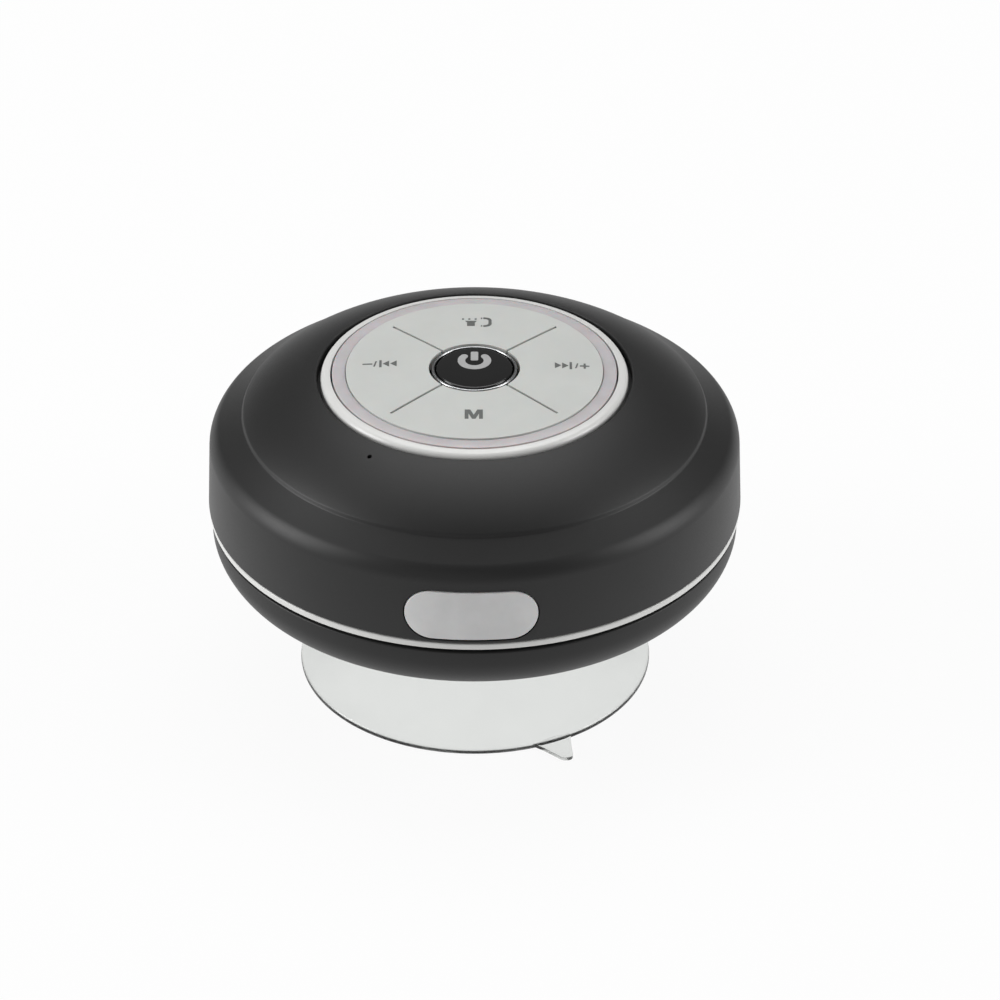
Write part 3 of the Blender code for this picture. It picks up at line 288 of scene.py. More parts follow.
def turn(bm, points, steps=None, longest=None):
    """Spins a closed outline of (radius, height, rounding) once round Z."""
    outline(bm, points)
    if longest:
        for edge in [e for e in bm.edges if e.calc_length() > longest]:
            cuts = math.ceil(edge.calc_length() / longest) - 1
            bmesh.ops.subdivide_edges(bm, edges=[edge], cuts=cuts)
    on_axis = [e for e in bm.edges if all(abs(v.co.x) < 1e-6 for v in e.verts)]
    bmesh.ops.delete(bm, geom=on_axis, context="EDGES")
    bmesh.ops.spin(
        bm,
        geom=bm.verts[:] + bm.edges[:],
        cent=(0, 0, 0),
        axis=(0, 0, 1),
        angle=FULL_TURN,
        steps=steps or sizes().turn_steps,
        use_merge=True,
    )
    tidy(bm)


def tidy(bm):
    """Merges doubles and turns the faces outwards."""
    bmesh.ops.remove_doubles(bm, verts=bm.verts, dist=1e-7)
    bmesh.ops.recalc_face_normals(bm, faces=bm.faces)


def extruded(bm, points, low, high):
    """A slab of a flat closed outline between two heights."""
    slab = bmesh.new()
    outline(slab, points, height=low)
    bmesh.ops.contextual_create(slab, geom=slab.verts[:] + slab.edges[:])
    thicken(slab, high - low)
    tidy(slab)
    add(bm, slab)


def add(bm, other, matrix=None):
    """Moves a bmesh's shapes into another one."""
    if matrix is not None:
        bmesh.ops.transform(other, matrix=matrix, verts=other.verts)
    mesh = mesh_of(other, "part")
    bm.from_mesh(mesh)
    bpy.data.meshes.remove(mesh)


def pin(bm, centre, radius, low, high, steps=32):
    """A round pin or hole cutter along Z."""
    place = Matrix.Translation((centre[0], centre[1], (low + high) / 2))
    bmesh.ops.create_cone(
        bm,
        cap_ends=True,
        segments=steps,
        radius1=radius,
        radius2=radius,
        depth=high - low,
        matrix=place,
    )


def block(bm, centre, size, turned=0.0):
    """A rectangular block, turned round Z about its own middle."""
    place = Matrix.Translation(centre) @ Matrix.Rotation(turned, 4, "Z")
    bmesh.ops.create_cube(bm, size=1, matrix=place @ Matrix.Diagonal((*size, 1)))


def solid(name, bm, finish):
    """Makes the bmesh a named piece with its finish, shaded smooth up to its real corners."""
    mesh = mesh_of(bm, name)
    piece = bpy.data.objects.new(name, mesh)
    bpy.context.scene.collection.objects.link(piece)
    mesh.materials.append(finish_of(finish))
    shade(piece)
    return piece


def turned_piece(name, points, finish, steps=None, longest=None, centre=(0, 0)):
    """Spins a closed outline into a named piece with its finish."""
    bm = bmesh.new()
    turn(bm, points, steps, longest)
    bmesh.ops.translate(bm, verts=bm.verts, vec=(*centre, 0))
    return solid(name, bm, finish)


def shade(piece, degrees=32):
    """Smooth shading with sharp corners kept."""
    piece.data.shade_smooth()
    piece.data.set_sharp_from_angle(angle=math.radians(degrees))


def cut(piece, bm, operation="DIFFERENCE"):
    """Applies a Boolean with the bmesh's shape to a piece."""
    tidy(bm)
    mesh = mesh_of(bm, "cutter")
    cutter = bpy.data.objects.new("cutter", mesh)
    bpy.context.scene.collection.objects.link(cutter)
    boolean = piece.modifiers.new("cut", "BOOLEAN")
    boolean.operation = operation
    boolean.object = cutter
    graph = bpy.context.evaluated_depsgraph_get()
    made = bpy.data.meshes.new_from_object(piece.evaluated_get(graph))
    piece.modifiers.clear()
    old = piece.data
    piece.data = made
    made.name = piece.name
    bpy.data.meshes.remove(old)
    bpy.data.objects.remove(cutter)
    bpy.data.meshes.remove(mesh)
    shade(piece)


def flex(piece, start, end):
    """Bakes a round piece's placing into its mesh and works out each vertex's share between radius
    start and radius end, but moves no vertex.
    """
    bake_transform(piece)
    for vert in piece.data.vertices:
        share = (vert.co.xy.length - start) / (end - start)
        share = min(max(share, 0.0), 1.0)


def sizes():
    """The speaker's size settings."""
    return bpy.context.scene.speaker_sizes


# ---------------------------------------------------------------- finishes


def add_node(material, kind, inputs=None, **settings):
    """Adds a shader node with its settings, and its inputs as values or links."""
    made = material.node_tree.nodes.new(kind)
    for name, value in settings.items():
        setattr(made, name, value)
    for name, value in (inputs or {}).items():
        if isinstance(value, bpy.types.NodeSocket):
            material.node_tree.links.new(value, made.inputs[name])
        else:
            made.inputs[name].default_value = value
    return made


# Each finish: its record slot, colour (a setting's name or sRGB), roughness, how far the
# roughness wanders, metallic, grain size and depth in mm, mottle size in mm and how far the
# colour darkens with it, and any fixed values of the shader's own sockets. Density is that of
# the absorption inside a clear piece, per metre.
FINISHES = {
    # ABS moulding sprayed with soft-touch rubber paint: near black, a wide dim sheen and a
    # fine even grain that takes the edge off every reflection.
    "soft_touch_paint": (
        "soft_touch_abs", "shell", 0.48, 0.06, 0.0, (0.16, 0.006), (9.0, 0.1), {"IOR": 1.42},
    ),
    # ABS with silver-grey lacquer: smooth, pale, with very fine flake.
    "silver_lacquer": (
        "silver_abs", "silver", 0.36, 0.05, 0.0, (0.09, 0.002), (5.0, 0.05),
        {"IOR": 1.5, "Coat Weight": 0.25, "Coat Roughness": 0.15},
    ),
    # Injection-moulded polycarbonate with a frosted face, which scatters what passes it.
    "frosted_polycarbonate": (
        "frosted_polycarbonate", "frosted", 0.38, 0.05, 0.0, (0.12, 0.003), (4.0, 0.1),
        {"IOR": 1.585, "Subsurface Weight": 0.35, "Subsurface Scale": 0.0012},
    ),
    # Compression-moulded silicone rubber, sprayed grey: satin, with a faint spark-eroded grain.
    "keypad_silicone": (
        "grey_silicone", "keypad", 0.46, 0.06, 0.0, (0.14, 0.003), (7.0, 0.05),
        {"IOR": 1.43, "Subsurface Weight": 0.08, "Subsurface Scale": 0.0006},
    ),
    # Pad-printed epoxy ink: a thin dark film with a slightly uneven edge and gloss.
    "pad_print_ink": (
        "grey_silicone", "print", 0.42, 0.08, 0.0, (0.1, 0.002), (0.8, 0.12), {"IOR": 1.5},
    ),
    # Polished black ABS: mirror-like, with the faintest moulding ripple.
    "gloss_black_abs": (
        "gloss_black_abs", "gloss", 0.05, 0.015, 0.0, (2.5, 0.0012), (6.0, 0.06), {"IOR": 1.52},
    ),
    # The power symbol, moulded through the button in satin grey polycarbonate.
    "symbol_polycarbonate": (
        "gloss_black_abs", "symbol", 0.35, 0.05, 0.0, (0.1, 0.002), (1.5, 0.08), {"IOR": 1.585},
    ),
    # Chrome-plated ABS ring: bright and a little hazy.
    "satin_chrome": ("plated_steel", "b9babb", 0.22, 0.05, 1.0, (0.12, 0.002), (3.0, 0.06), {}),
    # Moulded silicone for the port flap: softer and duller than the keypad.
    "flap_silicone": (
        "flap_silicone", "flap", 0.52, 0.07, 0.0, (0.18, 0.005), (4.0, 0.08),
        {"IOR": 1.43, "Subsurface Weight": 0.08, "Subsurface Scale": 0.0008},
    ),
    # Injection-moulded clear soft PVC: glassy, with a faint haze and flow ripples.
    "clear_pvc": (
        "clear_pvc", "cup", 0.16, 0.05, 0.0, (3.0, 0.01), (8.0, 0.03),
        {"IOR": 1.33, "Transmission Weight": 1.0, "Density": 22.0},
    ),
    # Structural ABS inside the casing, straight from the tool with a light spark grain.
    "natural_abs": (
        "natural_abs", "2d2d2e", 0.5, 0.08, 0.0, (0.2, 0.008), (6.0, 0.12), {"IOR": 1.5},
    ),
    # Green solder mask over glass cloth: the weave shows through as a fine grid of bumps.
    "solder_mask": (
        "fibreglass_board", "1d5a33", 0.35, 0.08, 0.0, (0.5, 0.01), (5.0, 0.2),
        {"IOR": 1.5, "Coat Weight": 0.3, "Coat Roughness": 0.2},
    ),
    # Transfer-moulded epoxy of a chip or a switch's base: dull charcoal with a fine fleck.
    "moulded_epoxy": (
        "chip_resin", "26272a", 0.55, 0.08, 0.0, (0.08, 0.004), (1.2, 0.15), {"IOR": 1.55},
    ),
    # Bright nickel-plated steel, pressed or turned: grey, with fine drawing marks.
    "nickel_plated_steel": (
        "plated_steel", "b4b2ad", 0.28, 0.1, 1.0, (0.15, 0.004), (2.0, 0.12), {},
    ),
    # Gold flash over nickel on the socket's contacts.
    "gilt_contacts": ("plated_steel", "d9b36a", 0.25, 0.06, 1.0, (0.1, 0.002), (0.8, 0.06), {}),
    # Sintered strontium ferrite: dark grey, slightly sparkling, with ground faces.
    "sintered_ferrite": (
        "ferrite", "3a3a3d", 0.6, 0.1, 0.0, (0.12, 0.012), (3.0, 0.2), {"IOR": 2.0},
    ),
    # Enamelled copper wire wound in layers: orange-brown, with the wires' ridges.
    "enamelled_copper": (
        "copper_winding", "b5673a", 0.3, 0.08, 1.0, (0.12, 0.02), (1.0, 0.15), {},
    ),
    # Pressed paper pulp with a doped face: matt charcoal with short fibres.
    "pressed_paper": (
        "cone_paper", "35353a", 0.8, 0.08, 0.0, (0.35, 0.02), (2.0, 0.25), {"IOR": 1.45},
    ),
    # Moulded nitrile rubber for the seals and the roll surround: matt black.
    "nitrile_rubber": (
        "seal_rubber", "1f1f20", 0.7, 0.08, 0.0, (0.15, 0.008), (4.0, 0.15), {"IOR": 1.52},
    ),
    # Aluminium-laminate pouch film: satin silver with shallow creases from forming.
    "pouch_film": ("battery_foil", "bfc2c6", 0.32, 0.1, 0.9, (3.5, 0.05), (6.0, 0.1), {}),
    # Open-cell polyurethane foam: dark, matt and pitted.
    "foam_pad": ("foam", "3b3b3c", 0.95, 0.03, 0.0, (0.4, 0.12), (2.0, 0.3), {"IOR": 1.4}),
    # Extruded PVC insulation: red, slightly glossy and drawn smooth.
    "lead_pvc": (
        "lead_insulation", "9c2b2a", 0.38, 0.05, 0.0, (0.3, 0.002), (4.0, 0.1), {"IOR": 1.53},
    ),
    # Cast epoxy over the lamp's chip: milky and pale yellow.
    "lamp_epoxy": (
        "led_resin", "ecebdd", 0.3, 0.05, 0.0, (0.1, 0.002), (0.8, 0.1),
        {"IOR": 1.53, "Subsurface Weight": 0.4, "Subsurface Scale": 0.0008},
    ),
}

# Which inner nodes take each finish, by the start of their names. The longest start holds.
INNER_FINISHES = {
    "nickel_plated_steel": (
        "baffle_screw", "board_screw", "microphone", "driver_basket", "driver_yoke",
    ),
    "moulded_epoxy": ("bluetooth_chip", "amplifier_chip", "switch"),
    "nitrile_rubber": ("microphone_boot", "driver_gasket", "main_gasket"),
    "lamp_epoxy": ("led",),
    "natural_abs": ("plunger", "speaker_baffle", "cup_retainer"),
    "solder_mask": ("main_board", "port_board"),
    "lead_pvc": ("board_cable", "battery_leads", "driver_leads"),
    "foam_pad": ("battery_pad",),
    "pouch_film": ("battery",),
    "sintered_ferrite": ("driver_magnet",),
    "pressed_paper": ("driver_cone",),
    "enamelled_copper": ("driver_voice_coil",),
    "flap_silicone": ("port_cover_anchor",),
}


def finish_of(name):
    """The material of that name, made on first use."""
    made = f"{name}_finish"
    if made in bpy.data.materials:
        return bpy.data.materials[made]
    _, tint, roughness, wander, metallic, grain, mottle, fixed = FINISHES[name]
    settings = bpy.context.scene.speaker_colours
    base = tuple(getattr(settings, tint)) if hasattr(settings, tint) else linear(tint)
    dark = tuple(c * (1 - mottle[1]) for c in base[:3]) + (1.0,)
    material = bpy.data.materials.new(made)
    material.use_nodes = True
    material.diffuse_color = base
    material.node_tree.nodes.clear()

    place = add_node(material, "ShaderNodeTexCoord").outputs["Object"]
    fine = add_node(
        material,
        "ShaderNodeTexNoise",
        {"Vector": place, "Scale": 1 / (grain[0] * MM), "Detail": 3.0, "Roughness": 0.6},
    )
    broad = add_node(
        material,
        "ShaderNodeTexNoise",
        {"Vector": place, "Scale": 1 / (mottle[0] * MM), "Detail": 4.0, "Roughness": 0.55},
    )
    blend = add_node(
        material,
        "ShaderNodeMapRange",
        {"Value": broad.outputs["Fac"], "From Min": 0.3, "From Max": 0.7},
    )
    tinted = add_node(
        material,
        "ShaderNodeMix",
        {"Factor": blend.outputs["Result"]},
        data_type="RGBA",
    )
    tinted.inputs[6].default_value = base
    tinted.inputs[7].default_value = dark
    rough = add_node(
        material,
        "ShaderNodeMapRange",
        {
            "Value": fine.outputs["Fac"],
            "From Min": 0.25,
            "From Max": 0.75,
            "To Min": max(roughness - wander, 0.02),
            "To Max": min(roughness + wander, 1.0),
        },
    )
    bump = add_node(
        material,
        "ShaderNodeBump",
        {"Height": fine.outputs["Fac"], "Strength": 1.0, "Distance": grain[1] * MM},
    )
    shader = add_node(
        material,
        "ShaderNodeBsdfPrincipled",
        {
            "Base Color": tinted.outputs[2],
            "Roughness": rough.outputs["Result"],
            "Normal": bump.outputs["Normal"],
            "Metallic": metallic,
            **{socket: value for socket, value in fixed.items() if socket != "Density"},
        },
    )
    ends = {"Surface": shader.outputs["BSDF"]}
    if "Density" in fixed:
        absorbing = {"Color": linear("000000"), "Density": fixed["Density"]}
        volume = add_node(material, "ShaderNodeVolumeAbsorption", absorbing)
        ends["Volume"] = volume.outputs["Volume"]
    add_node(material, "ShaderNodeOutputMaterial", ends)
    return material


# ---------------------------------------------------------------- casing


def bulged(start, end, bulge, steps=14):
    """The control point that rounds into a shallow arc from start to end."""
    chord = Vector(end) - Vector(start)
    up = Vector((chord.y, -chord.x)).normalized()
    if up.y < 0:
        up = -up
    point = (Vector(start) + Vector(end)) / 2 + up * 2 * bulge
    return (point.x, point.y, chord.length * 0.49, steps)


def curved_stadium(bm, grow, back, front, rounding=0.0, cuts=36):
    """The port flap's stadium outline as a slab between two radii about the body's axis."""
    half_width = (FLAP_HIGH.x - FLAP_LOW.x) / 2 - sizes().flap_inset + grow
    half_height = (FLAP_HIGH.z - FLAP_LOW.z) / 2 + grow
    corner = half_height * 0.9995
    points = [
        (FLAP_X + x * half_width, FLAP_Z + z * half_height, corner, 12)
        for x, z in ((-1, -1), (1, -1), (1, 1), (-1, 1))
    ]
    slab = bmesh.new()
    extruded(slab, points, 0, front - back)
    if rounding:
        rim = [
            e
            for e in slab.edges
            if all(v.co.z > front - back - 1e-6 for v in e.verts) and len(e.link_faces) == 2
        ]
        bevel(slab, rim, rounding, sizes().round_steps)
    for i in range(1, cuts):
        x = FLAP_X + half_width * (2 * i / cuts - 1)
        slice_at(slab, (x, 0, 0), (1, 0, 0), 1e-7)
    for vert in slab.verts:
        radius = back + vert.co.z
        vert.co = (vert.co.x, -math.sqrt(radius**2 - vert.co.x**2), vert.co.y)
    tidy(slab)
    add(bm, slab)


def rounded_box(bm, centre, size, rounding):
    """A box along Y with rounded corners in its front outline."""
    x, z = size[0] / 2, size[2] / 2
    points = [(-x, -z, rounding), (x, -z, rounding), (x, z, rounding), (-x, z, rounding)]
    made = bmesh.new()
    extruded(made, points, -size[1] / 2, size[1] / 2)
    add(bm, made, Matrix.Translation(centre) @ Matrix.Rotation(math.radians(90), 4, "X"))


class SPEAKER_OT_top_shell(Operator):
    """Model the domed upper casing with its panel floor, port recess and microphone hole"""

    bl_idname = "speaker.top_shell"
    bl_label = "Top shell"

    def execute(self, context):
        s = context.scene.speaker_sizes
        skirt_r, skirt_z, opening_z = SHELL_HIGH.x, SHELL_LOW.z, SHELL_HIGH.z + s.rim_lift
        side_r, side_z = skirt_r - s.side_draft, skirt_z + s.side_height
        shoulder_z = side_z + s.shoulder_drop
        crease = (skirt_r - s.shoulder_width - s.crease_width, shoulder_z + s.crease_step)
        shoulder_r = skirt_r - s.shoulder_width
        opening = (s.opening_radius, opening_z)
        floor_z = KEYPAD_LOW.z - 0.3 * MM
        ceiling_z = floor_z - s.floor
        wall = s.wall
        # The dome's inner side lies a wall's thickness under its outer one, square to its slope.
        inner_start = (opening[0] - 0.45 * wall, opening[1] - 0.89 * wall)
        inner_end = (crease[0] - 0.45 * wall, crease[1] - 0.89 * wall)
        share = (inner_start[1] - ceiling_z) / (inner_start[1] - inner_end[1])
        meet = (inner_start[0] + share * (inner_end[0] - inner_start[0]), ceiling_z)
        profile = [
            (0, floor_z), (opening[0], floor_z), (opening[0], opening_z, s.edge, 4),
            bulged(opening, crease, s.dome_bulge),
            (*crease, 0.12 * MM, 3), (shoulder_r, shoulder_z, 0.15 * MM, 3),
            (side_r, shoulder_z - s.shoulder_corner, 2.1 * MM, 10), (side_r, side_z, 0.6 * MM, 4),
            (skirt_r, skirt_z, 0.15 * MM, 3), (side_r - wall, skirt_z),
            (side_r - wall, shoulder_z - s.shoulder_corner - 0.6 * wall, 2.0 * MM, 5),
            inner_end,
            meet,
            (0, ceiling_z),
        ]
        shell = turned_piece("soft_touch_top_shell", profile, "soft_touch_paint")

        bosses = bmesh.new()
        seat, boss_top = SHELL_LOW.z + 2.7 * MM, side_z + 2.6 * MM
        for i in (1, 2, 3):
            pin(bosses, middle(f"baffle_screw_{i}"), s.boss_radius, seat, boss_top, 40)
        for i in (1, 2):
            screw = middle(f"board_screw_{i}")
            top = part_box("main_board")[1].z + 0.3 * MM
            pin(bosses, screw, s.board_boss, top, ceiling_z + 0.5 * MM, 40)
        cut(shell, bosses, "UNION")

        holes = bmesh.new()
        for i in (1, 2, 3):
            pin(holes, middle(f"baffle_screw_{i}"), s.boss_hole, seat - MM, side_z)
        pin(holes, MIC_HOLE, s.mic_radius, ceiling_z - 5 * MM, opening_z + MM, 24)
        for centre in [Vector()] + [spot(s.nub_distance, a) for a in KEY_ANGLES.values()]:
            pin(holes, centre, s.nub_hole, ceiling_z - MM, floor_z + MM)
        for i in (1, 2):
            pin(holes, middle(f"board_screw_{i}"), s.board_hole, ceiling_z - 5 * MM, floor_z - MM)
        curved_stadium(holes, s.running_gap, skirt_r - s.recess_depth, skirt_r + 2 * MM)
        cut(shell, holes)

        openings = bmesh.new()
        wall_y, through = -44 * MM, 6 * MM
        socket = middle("usb_socket")
        width = SOCKET_HIGH.x - SOCKET_LOW.x + s.port_room
        height = SOCKET_HIGH.z - SOCKET_LOW.z + s.port_room
        rounded_box(openings, (socket.x, wall_y, socket.z), (width, through, height), MM)
        anchor = middle("port_cover_anchor")
        size = (1.8 * MM, through, 3.2 * MM)
        rounded_box(openings, (anchor.x, wall_y, anchor.z), size, 0.4 * MM)
        cut(shell, openings)
        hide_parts("top_shell")
        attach(shell, "root")
        return {"FINISHED"}


class SPEAKER_OT_bottom_shell(Operator):
    """Model the bowl under the sound slot with its sunk screw seats"""

    bl_idname = "speaker.bottom_shell"
    bl_label = "Bottom shell"

    def execute(self, context):
        s = context.scene.speaker_sizes
        base_z, lip_z, lip_r = BASE_LOW.z, BASE_HIGH.z, BASE_HIGH.x
        flat_r = SHELL_HIGH.x - s.base_inset
        wall = s.base_wall
        hole = 4.4 * MM
        profile = [
            (hole, base_z, 0.2 * MM, 3), (flat_r, base_z, 0.8 * MM, 4),
            (lip_r - 0.15 * MM, base_z + 5.2 * MM, 4.7 * MM, 22), (lip_r, lip_z, 0.25 * MM, 4),
            (lip_r - wall, lip_z, 0.2 * MM, 3),
            (lip_r - 0.3 * MM - wall, base_z + 6.6 * MM, 3.6 * MM, 14),
            (flat_r - 0.4 * MM, base_z + wall), (hole, base_z + wall),
        ]
        shell = turned_piece("soft_touch_bottom_shell", profile, "soft_touch_paint")

        posts = bmesh.new()
        post_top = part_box("speaker_baffle")[0].z - 0.3 * MM
        seats = bmesh.new()
        for i in (1, 2, 3):
            screw = middle(f"shell_screw_{i}")
            low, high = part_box(f"shell_screw_{i}")
            pin(posts, screw, s.boss_radius, base_z + wall - 0.5 * MM, post_top, 48)
            seat = bmesh.new()
            sunk, hole_r, ledge = 2.6 * MM, s.boss_hole, low.z + 1.5 * MM
            steps = [
                (0, base_z - MM), (sunk + 0.3 * MM, base_z - MM), (sunk, base_z + 0.25 * MM),
                (sunk, ledge), (hole_r, ledge), (hole_r, post_top + MM), (0, post_top + MM),
            ]
            turn(seat, steps, 48)
            add(seats, seat, Matrix.Translation((screw.x, screw.y, 0)))
        cut(shell, posts, "UNION")
        cut(shell, seats)
        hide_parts("bottom_shell")
        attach(shell, "root")
        return {"FINISHED"}


class SPEAKER_OT_trim(Operator):
    """Model the silver trim ring above the sound slot"""

    bl_idname = "speaker.trim"
    bl_label = "Trim ring"

    def execute(self, context):
        s = context.scene.speaker_sizes
        outer, inner, edge = TRIM_HIGH.x, TRIM_HIGH.x - s.trim_width, s.trim_edge
        profile = [
            (inner, TRIM_LOW.z), (outer, TRIM_LOW.z, edge, 5), (outer, TRIM_HIGH.z, edge, 5),
            (inner, TRIM_HIGH.z),
        ]
        trim = turned_piece("silver_trim_ring", profile, "silver_lacquer")
        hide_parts("trim_ring")
        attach(trim, "root")
        return {"FINISHED"}


# ---------------------------------------------------------------- panel


def crown(radius):
    """Height of the slightly domed keypad at that distance from the axis."""
    return BUTTON_HIGH.z - sizes().keypad_drop * (radius / KEYPAD_HIGH.x) ** 2


class SPEAKER_OT_bezel(Operator):
    """Model the silver bezel and the frosted light ring inside it"""

    bl_idname = "speaker.bezel"
    bl_label = "Bezel and light ring"

    def execute(self, context):
        s = context.scene.speaker_sizes
        outer, inner = BEZEL_HIGH.x, BEZEL_HIGH.x - s.bezel_width
        edge = crown(outer)
        profile = [
            (inner, BEZEL_LOW.z), (outer, BEZEL_LOW.z), (outer, edge - 0.5 * MM, 0.8 * MM, 8),
            (inner, edge - 0.12 * MM, 0.12 * MM, 3),
        ]
        bezel = turned_piece("silver_bezel", profile, "silver_lacquer")
        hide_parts("panel_bezel")
        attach(bezel, "root")

        outer, inner = LIGHT_HIGH.x, LIGHT_HIGH.x - s.light_width
        top, low = LIGHT_HIGH.z, LIGHT_LOW.z
        pipe_height, pipe_radius = 4 * MM, 0.85 * MM
        profile = [
            (inner, low + pipe_height), (outer, low + pipe_height),
            (outer, top - 0.05 * MM, 0.12 * MM, 3), (inner, top + 0.05 * MM, 0.2 * MM, 4),
        ]
        ring = turned_piece("frosted_light_ring", profile, "frosted_polycarbonate")
        pipes = bmesh.new()
        for i in (1, 2, 3, 4):
            pin(pipes, middle(f"led_{i}"), pipe_radius, low, low + pipe_height + MM)
        cut(ring, pipes, "UNION")
        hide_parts("light_ring")
        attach(ring, "root")
        return {"FINISHED"}


class SPEAKER_OT_keypad(Operator):
    """Model the slotted silicone keypad as four keys cut from one pad"""

    bl_idname = "speaker.keypad"
    bl_label = "Keypad"

    def execute(self, context):
        s = context.scene.speaker_sizes
        top, low = 0.0, -s.key_thickness
        bm = bmesh.new()
        pin(bm, (0, 0), KEYPAD_HIGH.x, low, top, 240)
        pad = solid("keypad", bm, "keypad_silicone")
        slots = bmesh.new()
        pin(slots, (0, 0), s.key_inner, low - MM, top + MM, 128)
        cut(pad, slots)
        slots = bmesh.new()
        half = s.slot_width / 2
        for i in range(4):
            slot = bmesh.new()
            points = [
                (s.key_inner - MM, -half), (s.slot_end, -half, half * 0.999, 6),
                (s.slot_end, half, half * 0.999, 6), (s.key_inner - MM, half),
            ]
            extruded(slot, points, low - MM, top + MM)
            add(slots, slot, Matrix.Rotation(math.radians(45 + 90 * i), 4, "Z"))
        cut(pad, slots)

        bm = bmesh.new()
        bm.from_mesh(pad.data)
        bpy.data.objects.remove(pad)
        upper = [e for e in bm.edges if all(abs(v.co.z) < 1e-7 for v in e.verts)]
        outer = [e for e in upper if e.verts[0].co.xy.length > KEYPAD_HIGH.x - 0.1 * MM]
        inner = [e for e in upper if e not in outer]
        bevel(bm, outer, 0.22 * MM, 4)
        inner = [e for e in inner if e.is_valid]
        bevel(bm, inner, 0.14 * MM, 3)
        # Cross cuts give the crown its facets. They miss the middle, where the slots meet.
        step, aside = 1.6 * MM, 0.4 * MM
        count = int(KEYPAD_HIGH.x / step)
        for direction in ((1, 0, 0), (0, 1, 0)):
            for i in range(-count, count + 1):
                slice_at(bm, Vector(direction) * (i * step + aside), direction)
        for vert in bm.verts:
            vert.co.z += crown(vert.co.xy.length)
        whole = mesh_of(bm, "keypad")
        for name, degrees in KEY_ANGLES.items():
            bm = bmesh.new()
            bm.from_mesh(whole)
            for side in (-45, 45):
                across = spot(1, degrees + side + (90 if side > 0 else -90))
                rim = slice_at(bm, (0, 0, 0), across, clear_outer=True)
                bmesh.ops.holes_fill(bm, edges=rim, sides=0)
            node = f"key_{name}"
            out = s.nub_distance
            nub_top = crown(out) - s.key_thickness + 0.05 * MM
            pin(bm, spot(out, degrees), s.nub_radius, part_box(node)[0].z, nub_top)
            bmesh.ops.recalc_face_normals(bm, faces=bm.faces)
            key = solid(f"{name}_key", bm, "keypad_silicone")
            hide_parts(node)
            if name == "mode":
                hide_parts("keypad_rim")
            flex(key, s.slot_end, s.flex_radius)
        bpy.data.meshes.remove(whole)
        return {"FINISHED"}


# What is printed on each key, as outlines in mm from the middle of the panel.
M_LEGEND = [
    (-1.6, -16.3), (-0.95, -16.3), (-0.95, -14.7), (-0.35, -16.3), (0.25, -16.3), (0.85, -14.7),
    (0.85, -16.3), (1.5, -16.3), (1.5, -13.5), (0.55, -13.5), (-0.05, -15.1), (-0.65, -13.5),
    (-1.6, -13.5),
]


def bar(x, y, width, height, lean=0.0):
    """A bar's corners about its middle, its top moved sideways by lean."""
    x -= width / 2
    low, high = y - height / 2, y + height / 2
    return [(x, low), (x + width, low), (x + width + lean, high), (x + lean, high)]


def arrow(x, y, reach):
    """A triangle with its flat side at x, pointing along X by that reach."""
    return [(x, y - 0.95), (x + reach, y), (x, y + 0.95)]


def plus(x, y, arm, width):
    """A plus sign's outline."""
    a, w = arm / 2, width / 2
    return [
        (x - a, y - w), (x - w, y - w), (x - w, y - a), (x + w, y - a),
        (x + w, y - w), (x + a, y - w), (x + a, y + w), (x + w, y + w),
        (x + w, y + a), (x - w, y + a), (x - w, y + w), (x - a, y + w),
    ]


def handset(x, y):
    """A telephone handset with its ear and mouth ends towards -X."""
    return [
        (x, y - 1.7, 0.15), (x + 0.6, y - 1.7, 0.5), (x + 1.45, y - 1.1, 0.5),
        (x + 1.45, y + 1.1, 0.5), (x + 0.6, y + 1.7, 0.5), (x, y + 1.7, 0.15),
        (x, y + 1.1, 0.15), (x + 0.5, y + 1.1, 0.2), (x + 0.9, y + 0.7, 0.2),
        (x + 0.9, y - 0.7, 0.2), (x + 0.5, y - 1.1, 0.2), (x, y - 1.1, 0.15),
    ]


LEGENDS = {
    "mode": [M_LEGEND],
    "previous": [
        bar(-18.5, 1.6, 1.7, 0.36), bar(-17.35, 1.6, 0.28, 1.7, 0.35), bar(-16.25, 1.6, 0.42, 2.3),
        arrow(-14.75, 1.6, -1.1), arrow(-13.45, 1.6, -1.1),
    ],
    "next": [
        arrow(13.9, 1.0, 1.1), arrow(15.15, 1.0, 1.1), bar(16.65, 1.0, 0.42, 2.3),
        bar(17.5, 1.0, 0.26, 1.6, 0.35), plus(19.05, 1.0, 1.65, 0.38),
    ],
    "call": [
        [
            (-1.68, 15.95), (-1.32, 15.35), (-1.32, 14.15), (0.02, 14.15), (0.02, 15.35),
            (0.38, 15.95),
        ],
        *[bar(-2.05 + 1.105 * i, 16.6, 0.36, 0.44) for i in range(3)],
        handset(1.5, 15.5),
        bar(1.19, 16.85, 0.22, 0.5), bar(1.19, 14.15, 0.22, 0.5),
    ],
}


class SPEAKER_OT_legends(Operator):
    """Print the keys' signs as thin ink films that follow the keypad"""

    bl_idname = "speaker.legends"
    bl_label = "Legends"

    def execute(self, context):
        s = context.scene.speaker_sizes
        for name, shapes in LEGENDS.items():
            bm = bmesh.new()
            for points in shapes:
                scaled = [tuple(v * MM for v in point) for point in points]
                extruded(bm, scaled, -s.print_height, s.print_height)
            for vert in bm.verts:
                vert.co.z += crown(vert.co.xy.length)
            legend = solid(f"{name}_legend", bm, "pad_print_ink")
            flex(legend, s.slot_end, s.flex_radius)
        return {"FINISHED"}


